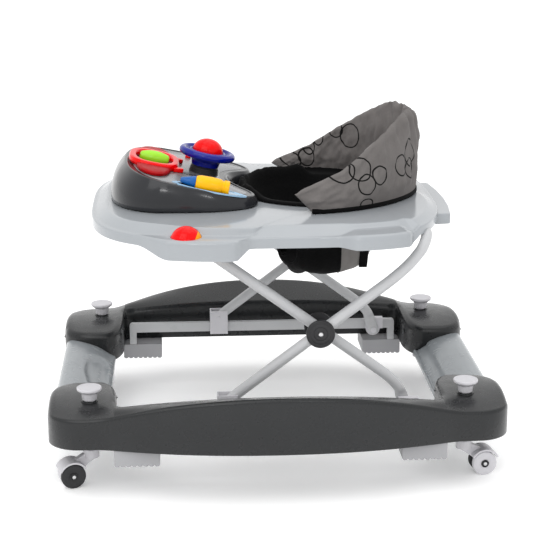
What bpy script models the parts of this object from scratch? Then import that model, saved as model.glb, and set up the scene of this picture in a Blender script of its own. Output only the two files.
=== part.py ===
"""Baby walker: a wheeled base, a folding X frame, a tray with toys, and a sling seat.

Metres, +Z up. The walker faces -X: the toys are at -X and the seat back is at +X.
The child's left is -Y. The origin is on the floor under the middle of the base.
"""
import math

import bmesh
import bpy
from mathutils import Matrix, Vector

# Base: two bowed side rails with a pod at each end, joined by two crossbars.
HALF_LENGTH = 0.3560
POD_OUTER = 0.300
RAIL_BOW = 0.0405
BOW_REACH = 0.27
BOW_POWER = 2.2
RAIL_INNER = 0.262
RAIL_BOTTOM = 0.080
POD_SIDE = 0.2525
POD_INNER = 0.126
POD_CORNER_X = 0.030
POD_CORNER_Y = 0.070
POD_FILLET = 0.018
POD_CREST = 0.128
POD_CROWN = 0.007
SHOULDER = 0.130
SHOULDER_RISE = 0.016
WALL = 0.003
GAP = 0.0003

# Castors: a knob and stem through each pod, a fork, and two wheels on one axle.
KNOB_X = 0.2925
KNOB_Y = 0.2328
KNOB_TOP = 0.1585
KNOB_RADIUS = 0.0193
STEM_RADIUS = 0.008
FORK_TOP = 0.0585
WHEEL_RADIUS = 0.0195
WHEEL_WIDTH = 0.009
WHEEL_OFFSET = 0.0103
TRAIL = 0.032
AXLE_RADIUS = 0.003
CASTOR_YAW = {
    "front_left": 196.8,
    "front_right": 171.0,
    "rear_left": 7.5,
    "rear_right": -12.0,
}

# Slide bars on grip pads, inside the rails.
BAR_Y = 0.230
BAR_HALF_LENGTH = 0.243
BAR_LEG = 0.0125
BAR_TOP = 0.119
BAR_HEIGHT = 0.017
BAR_THICKNESS = 0.010
PAD_INNER_X = 0.185
PAD_OUTER_X = 0.2545
PAD_INNER_Y = 0.225
PAD_OUTER_Y = 0.304
PAD_BOTTOM = 0.053
PAD_TEETH = 8

# X frame: two bent tubes that cross at the hub.
TUBE_RADIUS = 0.0085
FRAME_A_Y = 0.2095
FRAME_B_Y = BAR_Y
HUB = (0.064, 0.2386)
REAR_PIN = (0.2025, 0.1045)
SLIDER_PIN = (-0.080, 0.1295)
TRAY_PIN = (0.229, 0.388)
FRAME_A_TOP = (-0.1217, 0.375)
PIN_RADIUS = 0.003
PIN_HOLE = 0.0034
HUB_CAP_RADIUS = 0.0223

# Tray: a rounded ring with a seat opening and two moulded bulges on each side.
TRAY_HALF_LENGTH = 0.2900
TRAY_HALF_WIDTH = 0.272
TRAY_POWER = 3.3
TRAY_EDGE = 0.3985
TRAY_CREASE = 0.4110
TRAY_INNER_TOP = 0.4125
SKIRT_BOTTOM = 0.383
OPENING_CENTRE = 0.085
OPENING_HALF_LENGTH = 0.125
OPENING_HALF_WIDTH = 0.120
BULGE_WIDTH = 0.0235
BALL = (-0.140, 0.258, 0.3915)
BALL_RADIUS = 0.0245

# Toy console: its top face slopes down towards the child.
CONSOLE_BASE = 0.4135
CONSOLE_ORIGIN = (-0.1087, 0.0, 0.4443)
CONSOLE_SLOPE = math.radians(12.0)
CONSOLE_SIDE_TAPER = 0.20
CONSOLE_FRONT_TAPER = 0.38
STEERING_RADIUS = 0.0462
STEERING_HEIGHT = 0.0335
BARREL = (-0.083, 0.0, 0.0080)
BUTTON = (-0.025, 0.0995)
ARM_ROLLER = (0.010, -0.1300, 0.0080)
ARM_WELL = (0.007, -0.1270)

# Seat: a padded wall round the opening and a sling that hangs through it.
WALL_CENTRE = 0.056
WALL_HALF_LENGTH = 0.179
WALL_HALF_WIDTH = 0.168
WALL_POWER = 1.75
WALL_REACH = 92.0
WALL_THICKNESS = 0.014
WALL_BOTTOM = 0.4129
SLING_BOTTOM = 0.280
SLING_THICKNESS = 0.004

SIDES = {"left": -1.0, "right": 1.0}
ENDS = {"front": -1.0, "rear": 1.0}

PALETTE = {
    "charcoal_plastic": ((0.050, 0.052, 0.056), 0.28, 0.0),
    "grey_plastic": ((0.560, 0.580, 0.600), 0.25, 0.0),
    "white_paint": ((0.720, 0.730, 0.740), 0.35, 0.2),
    "pale_plastic": ((0.680, 0.680, 0.700), 0.45, 0.0),
    "dark_rubber": ((0.030, 0.030, 0.032), 0.60, 0.0),
    "steel": ((0.620, 0.620, 0.630), 0.30, 1.0),
    "red_plastic": ((0.800, 0.010, 0.010), 0.22, 0.0),
    "green_plastic": ((0.300, 0.780, 0.060), 0.22, 0.0),
    "blue_plastic": ((0.010, 0.050, 0.450), 0.22, 0.0),
    "yellow_plastic": ((0.950, 0.520, 0.010), 0.25, 0.0),
    "grey_fabric": ((0.180, 0.170, 0.165), 0.90, 0.0),
    "black_fabric": ((0.012, 0.012, 0.013), 0.90, 0.0),
}


def clear_scene():
    for item in list(bpy.data.objects):
        bpy.data.objects.remove(item, do_unlink=True)


def material(name):
    """Returns the named material, made on first use."""
    found = bpy.data.materials.get(name)
    if found:
        return found
    colour, roughness, metallic = PALETTE[name]
    made = bpy.data.materials.new(name)
    made.use_nodes = True
    shader = made.node_tree.nodes["Principled BSDF"]
    shader.inputs["Base Color"].default_value = (*colour, 1.0)
    shader.inputs["Roughness"].default_value = roughness
    shader.inputs["Metallic"].default_value = metallic
    return made


def add_object(name, mesh, parent=None):
    item = bpy.data.objects.new(name, mesh)
    bpy.context.scene.collection.objects.link(item)
    item.parent = parent
    return item


def add_empty(name, location, yaw=0.0, tilt=0.0, parent=None):
    """Adds a guide frame, turned about Z by yaw and about Y by tilt."""
    item = bpy.data.objects.new(name, None)
    bpy.context.scene.collection.objects.link(item)
    item.parent = parent
    item.location = location
    item.rotation_euler = (0.0, tilt, yaw)
    return item


def make_mesh(name, points, faces):
    mesh = bpy.data.meshes.new(name)
    mesh.from_pydata([tuple(point) for point in points], [], faces)
    build = bmesh.new()
    build.from_mesh(mesh)
    bmesh.ops.recalc_face_normals(build, faces=build.faces)
    if build.calc_volume(signed=True) < 0.0:
        bmesh.ops.reverse_faces(build, faces=build.faces)
    build.to_mesh(mesh)
    build.free()
    return mesh


def loft(name, rings, closed=False):
    """Skins rings of equal length. An open loft gets flat end caps."""
    count = len(rings[0])
    points = [point for ring in rings for point in ring]
    faces = []
    spans = len(rings) if closed else len(rings) - 1
    for span in range(spans):
        here = span * count
        there = ((span + 1) % len(rings)) * count
        for k in range(count):
            after = (k + 1) % count
            faces.append((here + k, here + after, there + after, there + k))
    if not closed:
        faces.append(tuple(reversed(range(count))))
        last = (len(rings) - 1) * count
        faces.append(tuple(range(last, last + count)))
    return make_mesh(name, points, faces)


def revolve(name, profile, segments, axis="Z", closed=False):
    """Turns a profile of (radius, height) about an axis; closed profiles make a ring."""
    points = []
    rows = []
    for radius, height in profile:
        if radius == 0.0:
            rows.append([len(points)])
            points.append(turned_point(0.0, 0.0, height, axis))
            continue
        rows.append([len(points) + k for k in range(segments)])
        for k in range(segments):
            angle = math.tau * k / segments
            points.append(turned_point(radius * math.cos(angle), radius * math.sin(angle), height, axis))
    faces = []
    pairs = list(zip(rows, rows[1:]))
    if closed:
        pairs.append((rows[-1], rows[0]))
    for low, high in pairs:
        for k in range(segments):
            corners = [low[k % len(low)], low[(k + 1) % len(low)],
                       high[(k + 1) % len(high)], high[k % len(high)]]
            faces.append(tuple(dict.fromkeys(corners)))
    return make_mesh(name, points, faces)


def turned_point(across, along, height, axis):
    if axis == "X":
        return (height, across, along)
    if axis == "Y":
        return (across, height, along)
    return (across, along, height)


def prism(name, outline, low, high, axis="Y"):
    """Extrudes an outline: (x, z) along Y, (y, z) along X, or (x, y) along Z."""
    rings = []
    for level in (low, high):
        if axis == "Y":
            rings.append([(a, level, b) for a, b in outline])
        elif axis == "X":
            rings.append([(level, a, b) for a, b in outline])
        else:
            rings.append([(a, b, level) for a, b in outline])
    return loft(name, rings)


def block(name, low, high):
    outline = [(low[0], low[1]), (high[0], low[1]), (high[0], high[1]), (low[0], high[1])]
    return prism(name, outline, low[2], high[2], "Z")


def rod(name, radius, low, high, centre, axis="Y", segments=16):
    """A plain cylinder along an axis, through a centre given by its other two coordinates."""
    mesh = revolve(name, [(0.0, low), (radius, low), (radius, high), (0.0, high)], segments, axis)
    offset = {
        "X": Vector((0.0, centre[0], centre[1])),
        "Y": Vector((centre[0], 0.0, centre[1])),
        "Z": Vector((centre[0], centre[1], 0.0)),
    }[axis]
    mesh.transform(Matrix.Translation(offset))
    return mesh


def boolean(target, mesh, operation):
    """Cuts a mesh from an object, or joins it on, and keeps the result as its mesh."""
    tool = add_object("tool", mesh, target.parent)
    tool.matrix_basis = target.matrix_basis.copy()
    change = target.modifiers.new("boolean", "BOOLEAN")
    change.operation = operation
    change.object = tool
    bpy.context.view_layer.update()
    evaluated = target.evaluated_get(bpy.context.evaluated_depsgraph_get())
    result = bpy.data.meshes.new_from_object(evaluated)
    target.modifiers.clear()
    target.data = result
    bpy.data.objects.remove(tool, do_unlink=True)


def finish(item, finish_name, origin=None, sharp_angle=35.0):
    """Gives an object its material, smooth shading and, if it moves, its pivot."""
    item.data.materials.clear()
    item.data.materials.append(material(finish_name))
    item.data.shade_smooth()
    item.data.set_sharp_from_angle(angle=math.radians(sharp_angle))
    if origin is not None:
        pivot = Vector(origin)
        item.data.transform(Matrix.Translation(-pivot))
        item.location = item.location + pivot
    return item


def arc(centre, radius, start, end, steps):
    """Points on an arc, from start to end in degrees."""
    points = []
    for k in range(steps + 1):
        angle = math.radians(start + (end - start) * k / steps)
        points.append((centre[0] + radius * math.cos(angle), centre[1] + radius * math.sin(angle)))
    return points


def smoothstep(low, high, value):
    t = min(1.0, max(0.0, (value - low) / (high - low)))
    return t * t * (3.0 - 2.0 * t)


# --- base ---------------------------------------------------------------

def bow(x):
    """1 at the middle of a rail, falling smoothly to 0 at its pods."""
    reach = 1.0 - (abs(x) / BOW_REACH) ** BOW_POWER
    return (reach + math.sqrt(reach * reach + 0.01)) / 2.0


def corner(distance, radius):
    """How far a round corner falls away at this distance past its start."""
    if distance <= 0.0:
        return 0.0
    return radius - math.sqrt(max(0.0, radius * radius - distance * distance))


def rail_outer(x, inset):
    radius = 0.050 - inset
    past = abs(x) - (HALF_LENGTH - 0.050)
    return POD_OUTER + RAIL_BOW * bow(x) - inset - corner(past, radius)


def rail_inner(x, inset):
    """Inner edge: straight along the rail, then round the pod."""
    a = abs(x)
    side = POD_SIDE + inset
    fillet = POD_FILLET + inset
    if a < side - fillet:
        return RAIL_INNER + inset
    if a < side:
        across = a - (side - fillet)
        return RAIL_INNER + inset - fillet + math.sqrt(max(0.0, fillet ** 2 - across ** 2))
    inner_corner = POD_CORNER_X - inset
    outer_corner = 0.045 - inset
    stretch = (POD_CORNER_Y - inset) / inner_corner
    return POD_INNER + inset + stretch * corner(side + inner_corner - a, inner_corner) + corner(
        a - (HALF_LENGTH - 0.045), outer_corner)


def rail_ring(x, inset, bottom):
    """Cross-section of a rail, from its outer bottom edge over the top to its inner one."""
    outer = rail_outer(x, inset)
    inner = rail_inner(x, inset)
    end_drop = corner(abs(x) - (HALF_LENGTH - inset - 0.008), 0.008)
    crest = POD_CREST + RAIL_BOW * bow(x) - inset - end_drop
    shoulder = SHOULDER + SHOULDER_RISE * bow(x) - inset - end_drop
    crown = POD_CROWN * (1.0 - bow(x))
    outer_round = 0.006
    inner_round = 0.010
    ring = [
        (outer, bottom),
        (outer, crest - outer_round),
        (outer - 0.3 * outer_round, crest - 0.3 * outer_round),
        (outer - outer_round, crest),
    ]
    for t in (0.35, 0.70):
        y = outer + (inner - outer) * t
        ring.append((y, crest + (shoulder - crest) * t + 4.0 * crown * t * (1.0 - t)))
    ring += [
        (inner + inner_round, shoulder + 0.002),
        (inner + 0.25 * inner_round, shoulder - 0.25 * inner_round),
        (inner, shoulder - inner_round),
        (inner, bottom),
    ]
    return [(x, y, z) for y, z in ring]


def rail_stations(inset):
    side = POD_SIDE + inset
    end = HALF_LENGTH - inset
    half = [0.0, 0.06, 0.12, 0.17, 0.21, side - POD_FILLET, side - 0.006, side - 0.0002,
            side + 0.0002, side + 0.003, side + 0.011, side + POD_CORNER_X, 0.310, 0.328,
            end - 0.009, end - 0.003, end]
    return [-x for x in reversed(half[1:])] + half


def rail_solid(name, inset=0.0, bottom=RAIL_BOTTOM):
    return loft(name, [rail_ring(x, inset, bottom) for x in rail_stations(inset)])


def mirrored(mesh, sign):
    """Turns a right-hand shape into a left-hand one when sign is negative."""
    if sign < 0.0:
        mesh.transform(Matrix.Scale(-1.0, 4, Vector((0.0, 1.0, 0.0))))
        mesh.flip_normals()
    return mesh


def make_rails():
    for side, sign in SIDES.items():
        rail = add_object(side + "_rail", mirrored(rail_solid("rail"), sign))
        cavity = rail_solid("cavity", WALL, RAIL_BOTTOM - 0.02)
        boolean(rail, mirrored(cavity, sign), "DIFFERENCE")
        for end_sign in ENDS.values():
            place = (end_sign * KNOB_X, sign * KNOB_Y)
            hole = rod("hole", STEM_RADIUS + 0.0005, 0.11, 0.16, place, "Z")
            boolean(rail, hole, "DIFFERENCE")
        finish(rail, "charcoal_plastic")


def make_crossbars():
    """Each crossbar's ends are hollowed to take the round inner ends of the pods."""
    profile = [(0.3540, 0.0815), (0.3540, 0.1030), (0.3505, 0.1120), (0.3430, 0.1170),
               (0.3310, 0.1185), (0.3150, 0.1155), (0.2940, 0.1075), (0.2760, 0.0945),
               (0.2670, 0.0870), (0.2660, 0.0815)]
    for end, end_sign in ENDS.items():
        outline = [(end_sign * a, z) for a, z in profile]
        bar = add_object(end + "_crossbar", prism("crossbar", outline, -0.2, 0.2))
        for sign in SIDES.values():
            boolean(bar, mirrored(rail_solid("pod", -GAP, 0.07), sign), "DIFFERENCE")
        finish(bar, "grey_plastic")


def make_slide_bars():
    half = BAR_HALF_LENGTH
    inner = half - BAR_LEG
    bottom = BAR_TOP - BAR_HEIGHT
    foot = RAIL_BOTTOM
    outline = [(-half, foot)]
    outline += arc((-half + 0.005, BAR_TOP - 0.005), 0.005, 180.0, 90.0, 3)
    outline += arc((half - 0.005, BAR_TOP - 0.005), 0.005, 90.0, 0.0, 3)
    outline += [(half, foot), (inner, foot), (inner, bottom), (-inner, bottom), (-inner, foot)]
    for side, sign in SIDES.items():
        low = sign * BAR_Y - BAR_THICKNESS / 2.0
        mesh = prism("slide_bar", outline, low, low + BAR_THICKNESS)
        finish(add_object(side + "_slide_bar", mesh), "white_paint")


def make_grip_pads():
    top = RAIL_BOTTOM - GAP
    pitch = (PAD_OUTER_X - PAD_INNER_X) / PAD_TEETH
    outline = [(PAD_OUTER_X, top), (PAD_INNER_X, top)]
    for k in range(PAD_TEETH):
        start = PAD_INNER_X + k * pitch
        outline += [(start, PAD_BOTTOM + 0.0025), (start + 0.25 * pitch, PAD_BOTTOM),
                    (start + 0.75 * pitch, PAD_BOTTOM)]
    outline.append((PAD_OUTER_X, PAD_BOTTOM + 0.0025))
    for end, end_sign in ENDS.items():
        for side, sign in SIDES.items():
            shape = [(end_sign * x, z) for x, z in outline]
            low, high = sorted((sign * PAD_INNER_Y, sign * PAD_OUTER_Y))
            pad = add_object(end + "_" + side + "_grip_pad", prism("grip_pad", shape, low, high))
            finish(pad, "pale_plastic")


# --- castors ------------------------------------------------------------

def knob_mesh():
    profile = [(0.0, FORK_TOP + GAP), (STEM_RADIUS, FORK_TOP + GAP), (STEM_RADIUS, 0.1385),
               (0.0118, 0.1385), (0.0124, 0.1490), (KNOB_RADIUS, 0.1548),
               (KNOB_RADIUS, 0.1575), (KNOB_RADIUS - 0.0012, KNOB_TOP), (0.0, KNOB_TOP - 0.0008)]
    return revolve("lift_knob", profile, 14)


def fork_mesh():
    """Centre web with a fender over both wheels and a round head under the stem."""
    web = arc((TRAIL, WHEEL_RADIUS), 0.0195, -60.0, 75.0, 5)
    web += [(0.011, 0.0520), (-0.011, 0.0520), (-0.011, 0.0460), (0.0120, 0.0300)]
    item = add_object("fork", prism("web", web, -0.005, 0.005))
    outer = arc((TRAIL, WHEEL_RADIUS), 0.0242, 25.0, 150.0, 6)
    inner = arc((TRAIL, WHEEL_RADIUS), 0.0208, 150.0, 25.0, 6)
    boolean(item, prism("fender", outer + inner, -0.0165, 0.0165), "UNION")
    head = rod("head", 0.0125, 0.0440, FORK_TOP, (0.0, 0.0), "Z", 14)
    boolean(item, head, "UNION")
    bore = rod("bore", AXLE_RADIUS + 0.0004, -0.02, 0.02, (TRAIL, WHEEL_RADIUS), "Y", 8)
    boolean(item, bore, "DIFFERENCE")
    mesh = item.data
    bpy.data.objects.remove(item, do_unlink=True)
    return mesh


def wheel_mesh():
    half = WHEEL_WIDTH / 2.0
    profile = [(AXLE_RADIUS + 0.0004, -half), (WHEEL_RADIUS - 0.0018, -half),
               (WHEEL_RADIUS, -half + 0.0018), (WHEEL_RADIUS, half - 0.0018),
               (WHEEL_RADIUS - 0.0018, half), (AXLE_RADIUS + 0.0004, half)]
    return revolve("wheel", profile, 16, "Y", closed=True)


def axle_mesh():
    reach = WHEEL_OFFSET + WHEEL_WIDTH / 2.0 + 0.0006
    head = 0.0050
    profile = [(0.0, -reach - 0.0015), (head, -reach), (AXLE_RADIUS, -reach),
               (AXLE_RADIUS, reach), (head, reach), (0.0, reach + 0.0015)]
    return revolve("axle", profile, 8, "Y")


def make_castors():
    knob = knob_mesh()
    fork = fork_mesh()
    wheel = wheel_mesh()
    axle = axle_mesh()
    for end, end_sign in ENDS.items():
        for side, sign in SIDES.items():
            corner_name = end + "_" + side
            yaw = math.radians(CASTOR_YAW[corner_name])
            place = (end_sign * KNOB_X, sign * KNOB_Y, 0.0)
            frame = add_empty(corner_name + "_castor", place, yaw)
            finish(add_object(corner_name + "_lift_knob", knob.copy(), frame), "pale_plastic")
            finish(add_object(corner_name + "_fork", fork.copy(), frame), "pale_plastic")
            for name, mesh, offset, look in (
                    ("_axle", axle, 0.0, "steel"),
                    ("_dark_wheel", wheel, WHEEL_OFFSET, "dark_rubber"),
                    ("_light_wheel", wheel, -WHEEL_OFFSET, "pale_plastic")):
                item = add_object(corner_name + name, mesh.copy(), frame)
                item.location = (TRAIL, offset, WHEEL_RADIUS)
                finish(item, look)


# --- X frame ------------------------------------------------------------

def swept_tube(name, path, sides=9):
    """Sweeps a round section along (point, in-plane scale, cross scale) steps.

    The section keeps one axis square to the path in the plane that the path bends in.
    """
    rings = []
    points = [Vector(step[0]) for step in path]
    reference = None
    for k, point in enumerate(points):
        ahead = points[min(k + 1, len(points) - 1)] - point
        behind = point - points[max(k - 1, 0)]
        forward = (ahead.normalized() + behind.normalized()).normalized()
        if reference is None:
            reference = Vector((0.0, 1.0, 0.0))
        cross = (reference - forward * reference.dot(forward)).normalized()
        reference = cross
        normal = forward.cross(cross)
        flat, wide = path[k][1], path[k][2]
        ring = []
        for j in range(sides):
            angle = math.tau * j / sides
            offset = normal * (math.cos(angle) * TUBE_RADIUS * flat)
            offset = offset + cross * (math.sin(angle) * TUBE_RADIUS * wide)
            ring.append(point + offset)
        rings.append(ring)
    return loft(name, rings)


def u_path(side_path, half_width, bend):
    """Mirrors a side path (x, z, flat, wide) into a U whose bar runs along Y at its end."""
    near = [((x, -half_width, z), flat, wide) for x, z, flat, wide in side_path]
    last = Vector(near[-1][0])
    before = Vector(near[-2][0])
    rise = (last - before).normalized()
    corner_steps = []
    for angle in (15.0, 40.0, 65.0, 90.0):
        turn = math.radians(angle)
        point = last + rise * (bend * math.sin(turn) - bend)
        point = point + Vector((0.0, bend * (1.0 - math.cos(turn)), 0.0))
        corner_steps.append((tuple(point), 1.0, 1.0))
    start = last - rise * bend
    half = near[:-1] + [(tuple(start), 1.0, 1.0)] + corner_steps
    other = [((x, -y, z), flat, wide) for (x, y, z), flat, wide in reversed(half)]
    return half + other


def along(start, end, distance):
    """The point on the line from start to end at this distance from start."""
    direction = Vector((end[0] - start[0], end[1] - start[1])).normalized()
    return (start[0] + direction.x * distance, start[1] + direction.y * distance)


def drill(item, places, radius, reach):
    for place in places:
        hole = rod("hole", radius, -reach, reach, place, "Y", 10)
        boolean(item, hole, "DIFFERENCE")


def make_frame_a():
    """Front-top to rear-bottom tube: kinked down to its fixed rear pivots."""
    end = along(REAR_PIN, (0.186, 0.152), -0.006)
    side = [(end[0], end[1], 0.75, 0.50), (REAR_PIN[0], REAR_PIN[1], 1.15, 0.50)]
    flat_end = along(REAR_PIN, (0.186, 0.152), 0.023)
    round_start = along(REAR_PIN, (0.186, 0.152), 0.035)
    side += [(flat_end[0], flat_end[1], 1.15, 0.50), (round_start[0], round_start[1], 1.0, 1.0),
             (0.1800, 0.1513, 1.0, 1.0), (0.1650, 0.1644, 1.0, 1.0)]
    side += [(HUB[0], HUB[1], 1.0, 1.0), (FRAME_A_TOP[0], FRAME_A_TOP[1], 1.0, 1.0)]
    mesh = swept_tube("frame_a", u_path(side, FRAME_A_Y, 0.030))
    item = add_object("frame_a", mesh)
    drill(item, (HUB, REAR_PIN), PIN_HOLE, 0.3)
    finish(item, "white_paint", (REAR_PIN[0], 0.0, REAR_PIN[1]))


def make_frame_b():
    """Front-bottom to rear-top tube: curved up to the tray's rear pivots."""
    end = along(SLIDER_PIN, HUB, -0.004)
    side = [(end[0], end[1], 0.70, 0.90), (SLIDER_PIN[0], SLIDER_PIN[1], 0.80, 1.0)]
    start = along(SLIDER_PIN, HUB, 0.016)
    side += [(start[0], start[1], 1.0, 1.0), (HUB[0], HUB[1], 1.0, 1.0),
             (0.1480, 0.3010, 1.0, 1.0), (0.1780, 0.3240, 1.0, 1.0),
             (0.2010, 0.3450, 1.0, 1.0), (0.2180, 0.3660, 1.0, 1.0)]
    side.append((TRAY_PIN[0], TRAY_PIN[1], 1.0, 1.0))
    mesh = swept_tube("frame_b", u_path(side, FRAME_B_Y, 0.022))
    item = add_object("frame_b", mesh)
    drill(item, (HUB, SLIDER_PIN), PIN_HOLE, 0.3)
    finish(item, "white_paint", (HUB[0], 0.0, HUB[1]))


def make_sliders():
    """Each slider wraps a slide bar and carries the lower end of frame B on a pin."""
    half_x = 0.016
    half_y = 0.0112
    x, z = SLIDER_PIN
    for side, sign in SIDES.items():
        middle = sign * BAR_Y
        low = (x - half_x, middle - half_y, 0.0985)
        high = (x + half_x, middle + half_y, 0.1415)
        item = add_object(side + "_slider", block("slider", low, high))
        channel = block("channel", (x - 0.05, middle - 0.0060, BAR_TOP - BAR_HEIGHT - 0.0010),
                        (x + 0.05, middle + 0.0060, BAR_TOP + 0.0010))
        boolean(item, channel, "DIFFERENCE")
        slot = block("slot", (x - 0.0135, middle - 0.0091, 0.1214),
                     (x + 0.05, middle + 0.0091, 0.16))
        boolean(item, slot, "DIFFERENCE")
        pin = rod("pin", PIN_RADIUS, middle - half_y - 0.0012, middle + half_y + 0.0012, (x, z), "Y", 12)
        boolean(item, pin, "UNION")
        finish(item, "pale_plastic", (x, middle, z))


def make_rear_pivots():
    """Each bracket sits on a slide bar and holds the lower end of frame A on a stud."""
    x, z = REAR_PIN
    for side, sign in SIDES.items():
        inner = 0.2050
        bar_face = BAR_Y - BAR_THICKNESS / 2.0 - GAP
        plate = sorted((sign * (FRAME_A_Y + 0.0048), sign * bar_face))
        outline = arc((x, z), 0.0130, 180.0, 360.0, 6)
        outline += [(x + 0.018, z), (x + 0.018, 0.1255), (x - 0.013, 0.1255)]
        item = add_object(side + "_rear_pivot", prism("rear_pivot", outline, plate[0], plate[1]))
        stud = sorted((sign * (inner - 0.0030), sign * (bar_face - 0.002)))
        boolean(item, rod("stud", PIN_RADIUS, stud[0], stud[1], (x, z), "Y", 12), "UNION")
        head = sorted((sign * (inner - 0.0020), sign * (inner - 0.0002)))
        boolean(item, rod("head", 0.0052, head[0], head[1], (x, z), "Y", 12), "UNION")
        finish(item, "pale_plastic")


def make_hubs():
    """A bolt joins the two tubes at each hub, between an outer and an inner cap."""
    hole = PIN_RADIUS + 0.0004
    rim = HUB_CAP_RADIUS
    profile = [(hole, 0.0), (rim, 0.0), (rim, 0.0030), (rim - 0.0025, 0.0055), (hole, 0.0060)]
    cap = revolve("hub_cap", profile, 16, "Y", closed=True)
    inner_face = FRAME_A_Y - TUBE_RADIUS - 0.0004
    outer_face = FRAME_B_Y + TUBE_RADIUS + 0.0004
    for side, sign in SIDES.items():
        outer = mirrored(cap.copy(), sign)
        outer.transform(Matrix.Translation((HUB[0], sign * outer_face, HUB[1])))
        finish(add_object(side + "_outer_hub_cap", outer), "charcoal_plastic", (HUB[0], 0.0, HUB[1]))
        inner = mirrored(cap.copy(), -sign)
        inner.transform(Matrix.Translation((HUB[0], sign * inner_face, HUB[1])))
        finish(add_object(side + "_inner_hub_cap", inner), "charcoal_plastic", (HUB[0], 0.0, HUB[1]))
        low = inner_face - 0.0060 - GAP
        high = outer_face + 0.0060 + GAP
        bolt = [(0.0, low - 0.0016), (0.0050, low), (PIN_RADIUS, low),
                (PIN_RADIUS, high), (0.0050, high), (0.0, high + 0.0016)]
        mesh = mirrored(revolve("hub_bolt", bolt, 10, "Y"), sign)
        mesh.transform(Matrix.Translation((HUB[0], 0.0, HUB[1])))
        finish(add_object(side + "_hub_bolt", mesh), "steel", (HUB[0], 0.0, HUB[1]))


# --- tray ---------------------------------------------------------------

def superellipse(angle, half_x, half_y, power):
    c, s = math.cos(angle), math.sin(angle)
    x = math.copysign(abs(c) ** (2.0 / power), c) * half_x
    y = math.copysign(abs(s) ** (2.0 / power), s) * half_y
    return x, y


def bulge_shares(x, y):
    """How far the front and the rear bulge of a side stand out at this place, 0 to 1."""
    flank = smoothstep(0.15, 0.22, abs(y))
    front = smoothstep(-0.2155, -0.166, x) * (1.0 - smoothstep(-0.070, -0.045, x))
    rear = smoothstep(0.085, 0.118, x) * (1.0 - smoothstep(0.194, 0.208, x))
    return front * flank, rear * flank


def tray_outline(angle):
    """Outer edge at this angle, with the bulge's share, and the skirt's bottom and top there."""
    x, y = superellipse(angle, TRAY_HALF_LENGTH, TRAY_HALF_WIDTH, TRAY_POWER)
    front, rear = bulge_shares(x, y)
    bulge = max(front, rear)
    y += math.copysign(BULGE_WIDTH * bulge, y)
    corner_lift = smoothstep(0.205, 0.222, x) * smoothstep(0.105, 0.150, abs(y))
    back = smoothstep(0.24, 0.28, x) * (1.0 - smoothstep(0.105, 0.150, abs(y)))
    bottom = SKIRT_BOTTOM - 0.0135 * front - 0.001 * rear + 0.0150 * corner_lift - 0.003 * back
    edge = TRAY_EDGE + 0.001 * bulge + 0.008 * corner_lift - 0.001 * back
    return Vector((x, y, 0.0)), bottom, edge, bulge, back


def tray_ring(angle):
    """Closed section of the tray shell, from the skirt over the top to the opening and back.

    A ledge runs inside the skirt's top, then the shell rises to a crease round its flat middle.
    """
    outer, bottom, edge, bulge, back = tray_outline(angle)
    inner = Vector((OPENING_CENTRE + OPENING_HALF_LENGTH * math.cos(angle),
                    OPENING_HALF_WIDTH * math.sin(angle), 0.0))
    out = (outer - inner).normalized()
    width = (outer - inner).length
    rounding = 0.003 + 0.005 * bulge
    ledge = 0.007 + 0.0375 * bulge + 0.010 * back
    crease = 0.0375 + 0.016 * bulge - 0.0135 * smoothstep(0.20, 0.27, -outer.x)
    top = [(0.0, bottom), (0.0, edge - rounding), (0.3 * rounding, edge - 0.3 * rounding),
           (rounding, edge), (ledge, edge + 0.0008), (crease, TRAY_CREASE), (width - 0.005, TRAY_INNER_TOP),
           (width, 0.4090), (width, 0.4030)]
    under = [(width - WALL, 0.4030), (width - WALL - 0.003, TRAY_INNER_TOP - WALL),
             (crease + 0.003, TRAY_CREASE - WALL), (ledge + 0.003, edge + 0.0008 - WALL),
             (WALL + 0.7 * rounding, edge - WALL), (WALL, edge - 0.6 * rounding - WALL),
             (WALL, bottom)]
    ring = []
    for inward, z in top + under:
        point = outer - out * inward
        ring.append((point.x, point.y, z))
    return ring


def make_tray():
    stations = 48
    rings = [tray_ring(math.tau * k / stations) for k in range(stations)]
    tray = add_object("tray", loft("tray", rings, closed=True))
    for sign in SIDES.values():
        socket = ball_mesh(BALL_RADIUS + 0.0008, sign)
        boolean(tray, socket, "DIFFERENCE")
    finish(tray, "grey_plastic", (TRAY_PIN[0], 0.0, TRAY_PIN[1]))


def ball_mesh(radius, sign):
    profile = [(radius * math.sin(math.pi * k / 8.0), -radius * math.cos(math.pi * k / 8.0))
               for k in range(1, 8)]
    profile = [(0.0, -radius)] + profile + [(0.0, radius)]
    mesh = revolve("ball", profile, 14, "X")
    mesh.transform(Matrix.Translation((BALL[0], sign * BALL[1], BALL[2])))
    return mesh


def make_balls():
    for side, sign in SIDES.items():
        item = add_object(side + "_tray_ball", ball_mesh(BALL_RADIUS, sign))
        finish(item, "red_plastic", (BALL[0], sign * BALL[1], BALL[2]))


def make_tray_hinges():
    """Two blocks under the rear of the tray hold frame B's cross tube."""
    x, z = TRAY_PIN
    outline = arc((x, z), 0.0125, 200.0, 340.0, 5)
    outline += [(x + 0.0145, 0.4030), (x - 0.0145, 0.4030)]
    for side, sign in SIDES.items():
        low, high = sorted((sign * 0.105, sign * 0.140))
        item = add_object(side + "_tray_hinge", prism("tray_hinge", outline, low, high))
        bore = rod("bore", TUBE_RADIUS + 0.0005, -0.2, 0.2, (x, z), "Y", 20)
        boolean(item, bore, "DIFFERENCE")
        finish(item, "charcoal_plastic", (x, 0.0, z))


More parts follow.
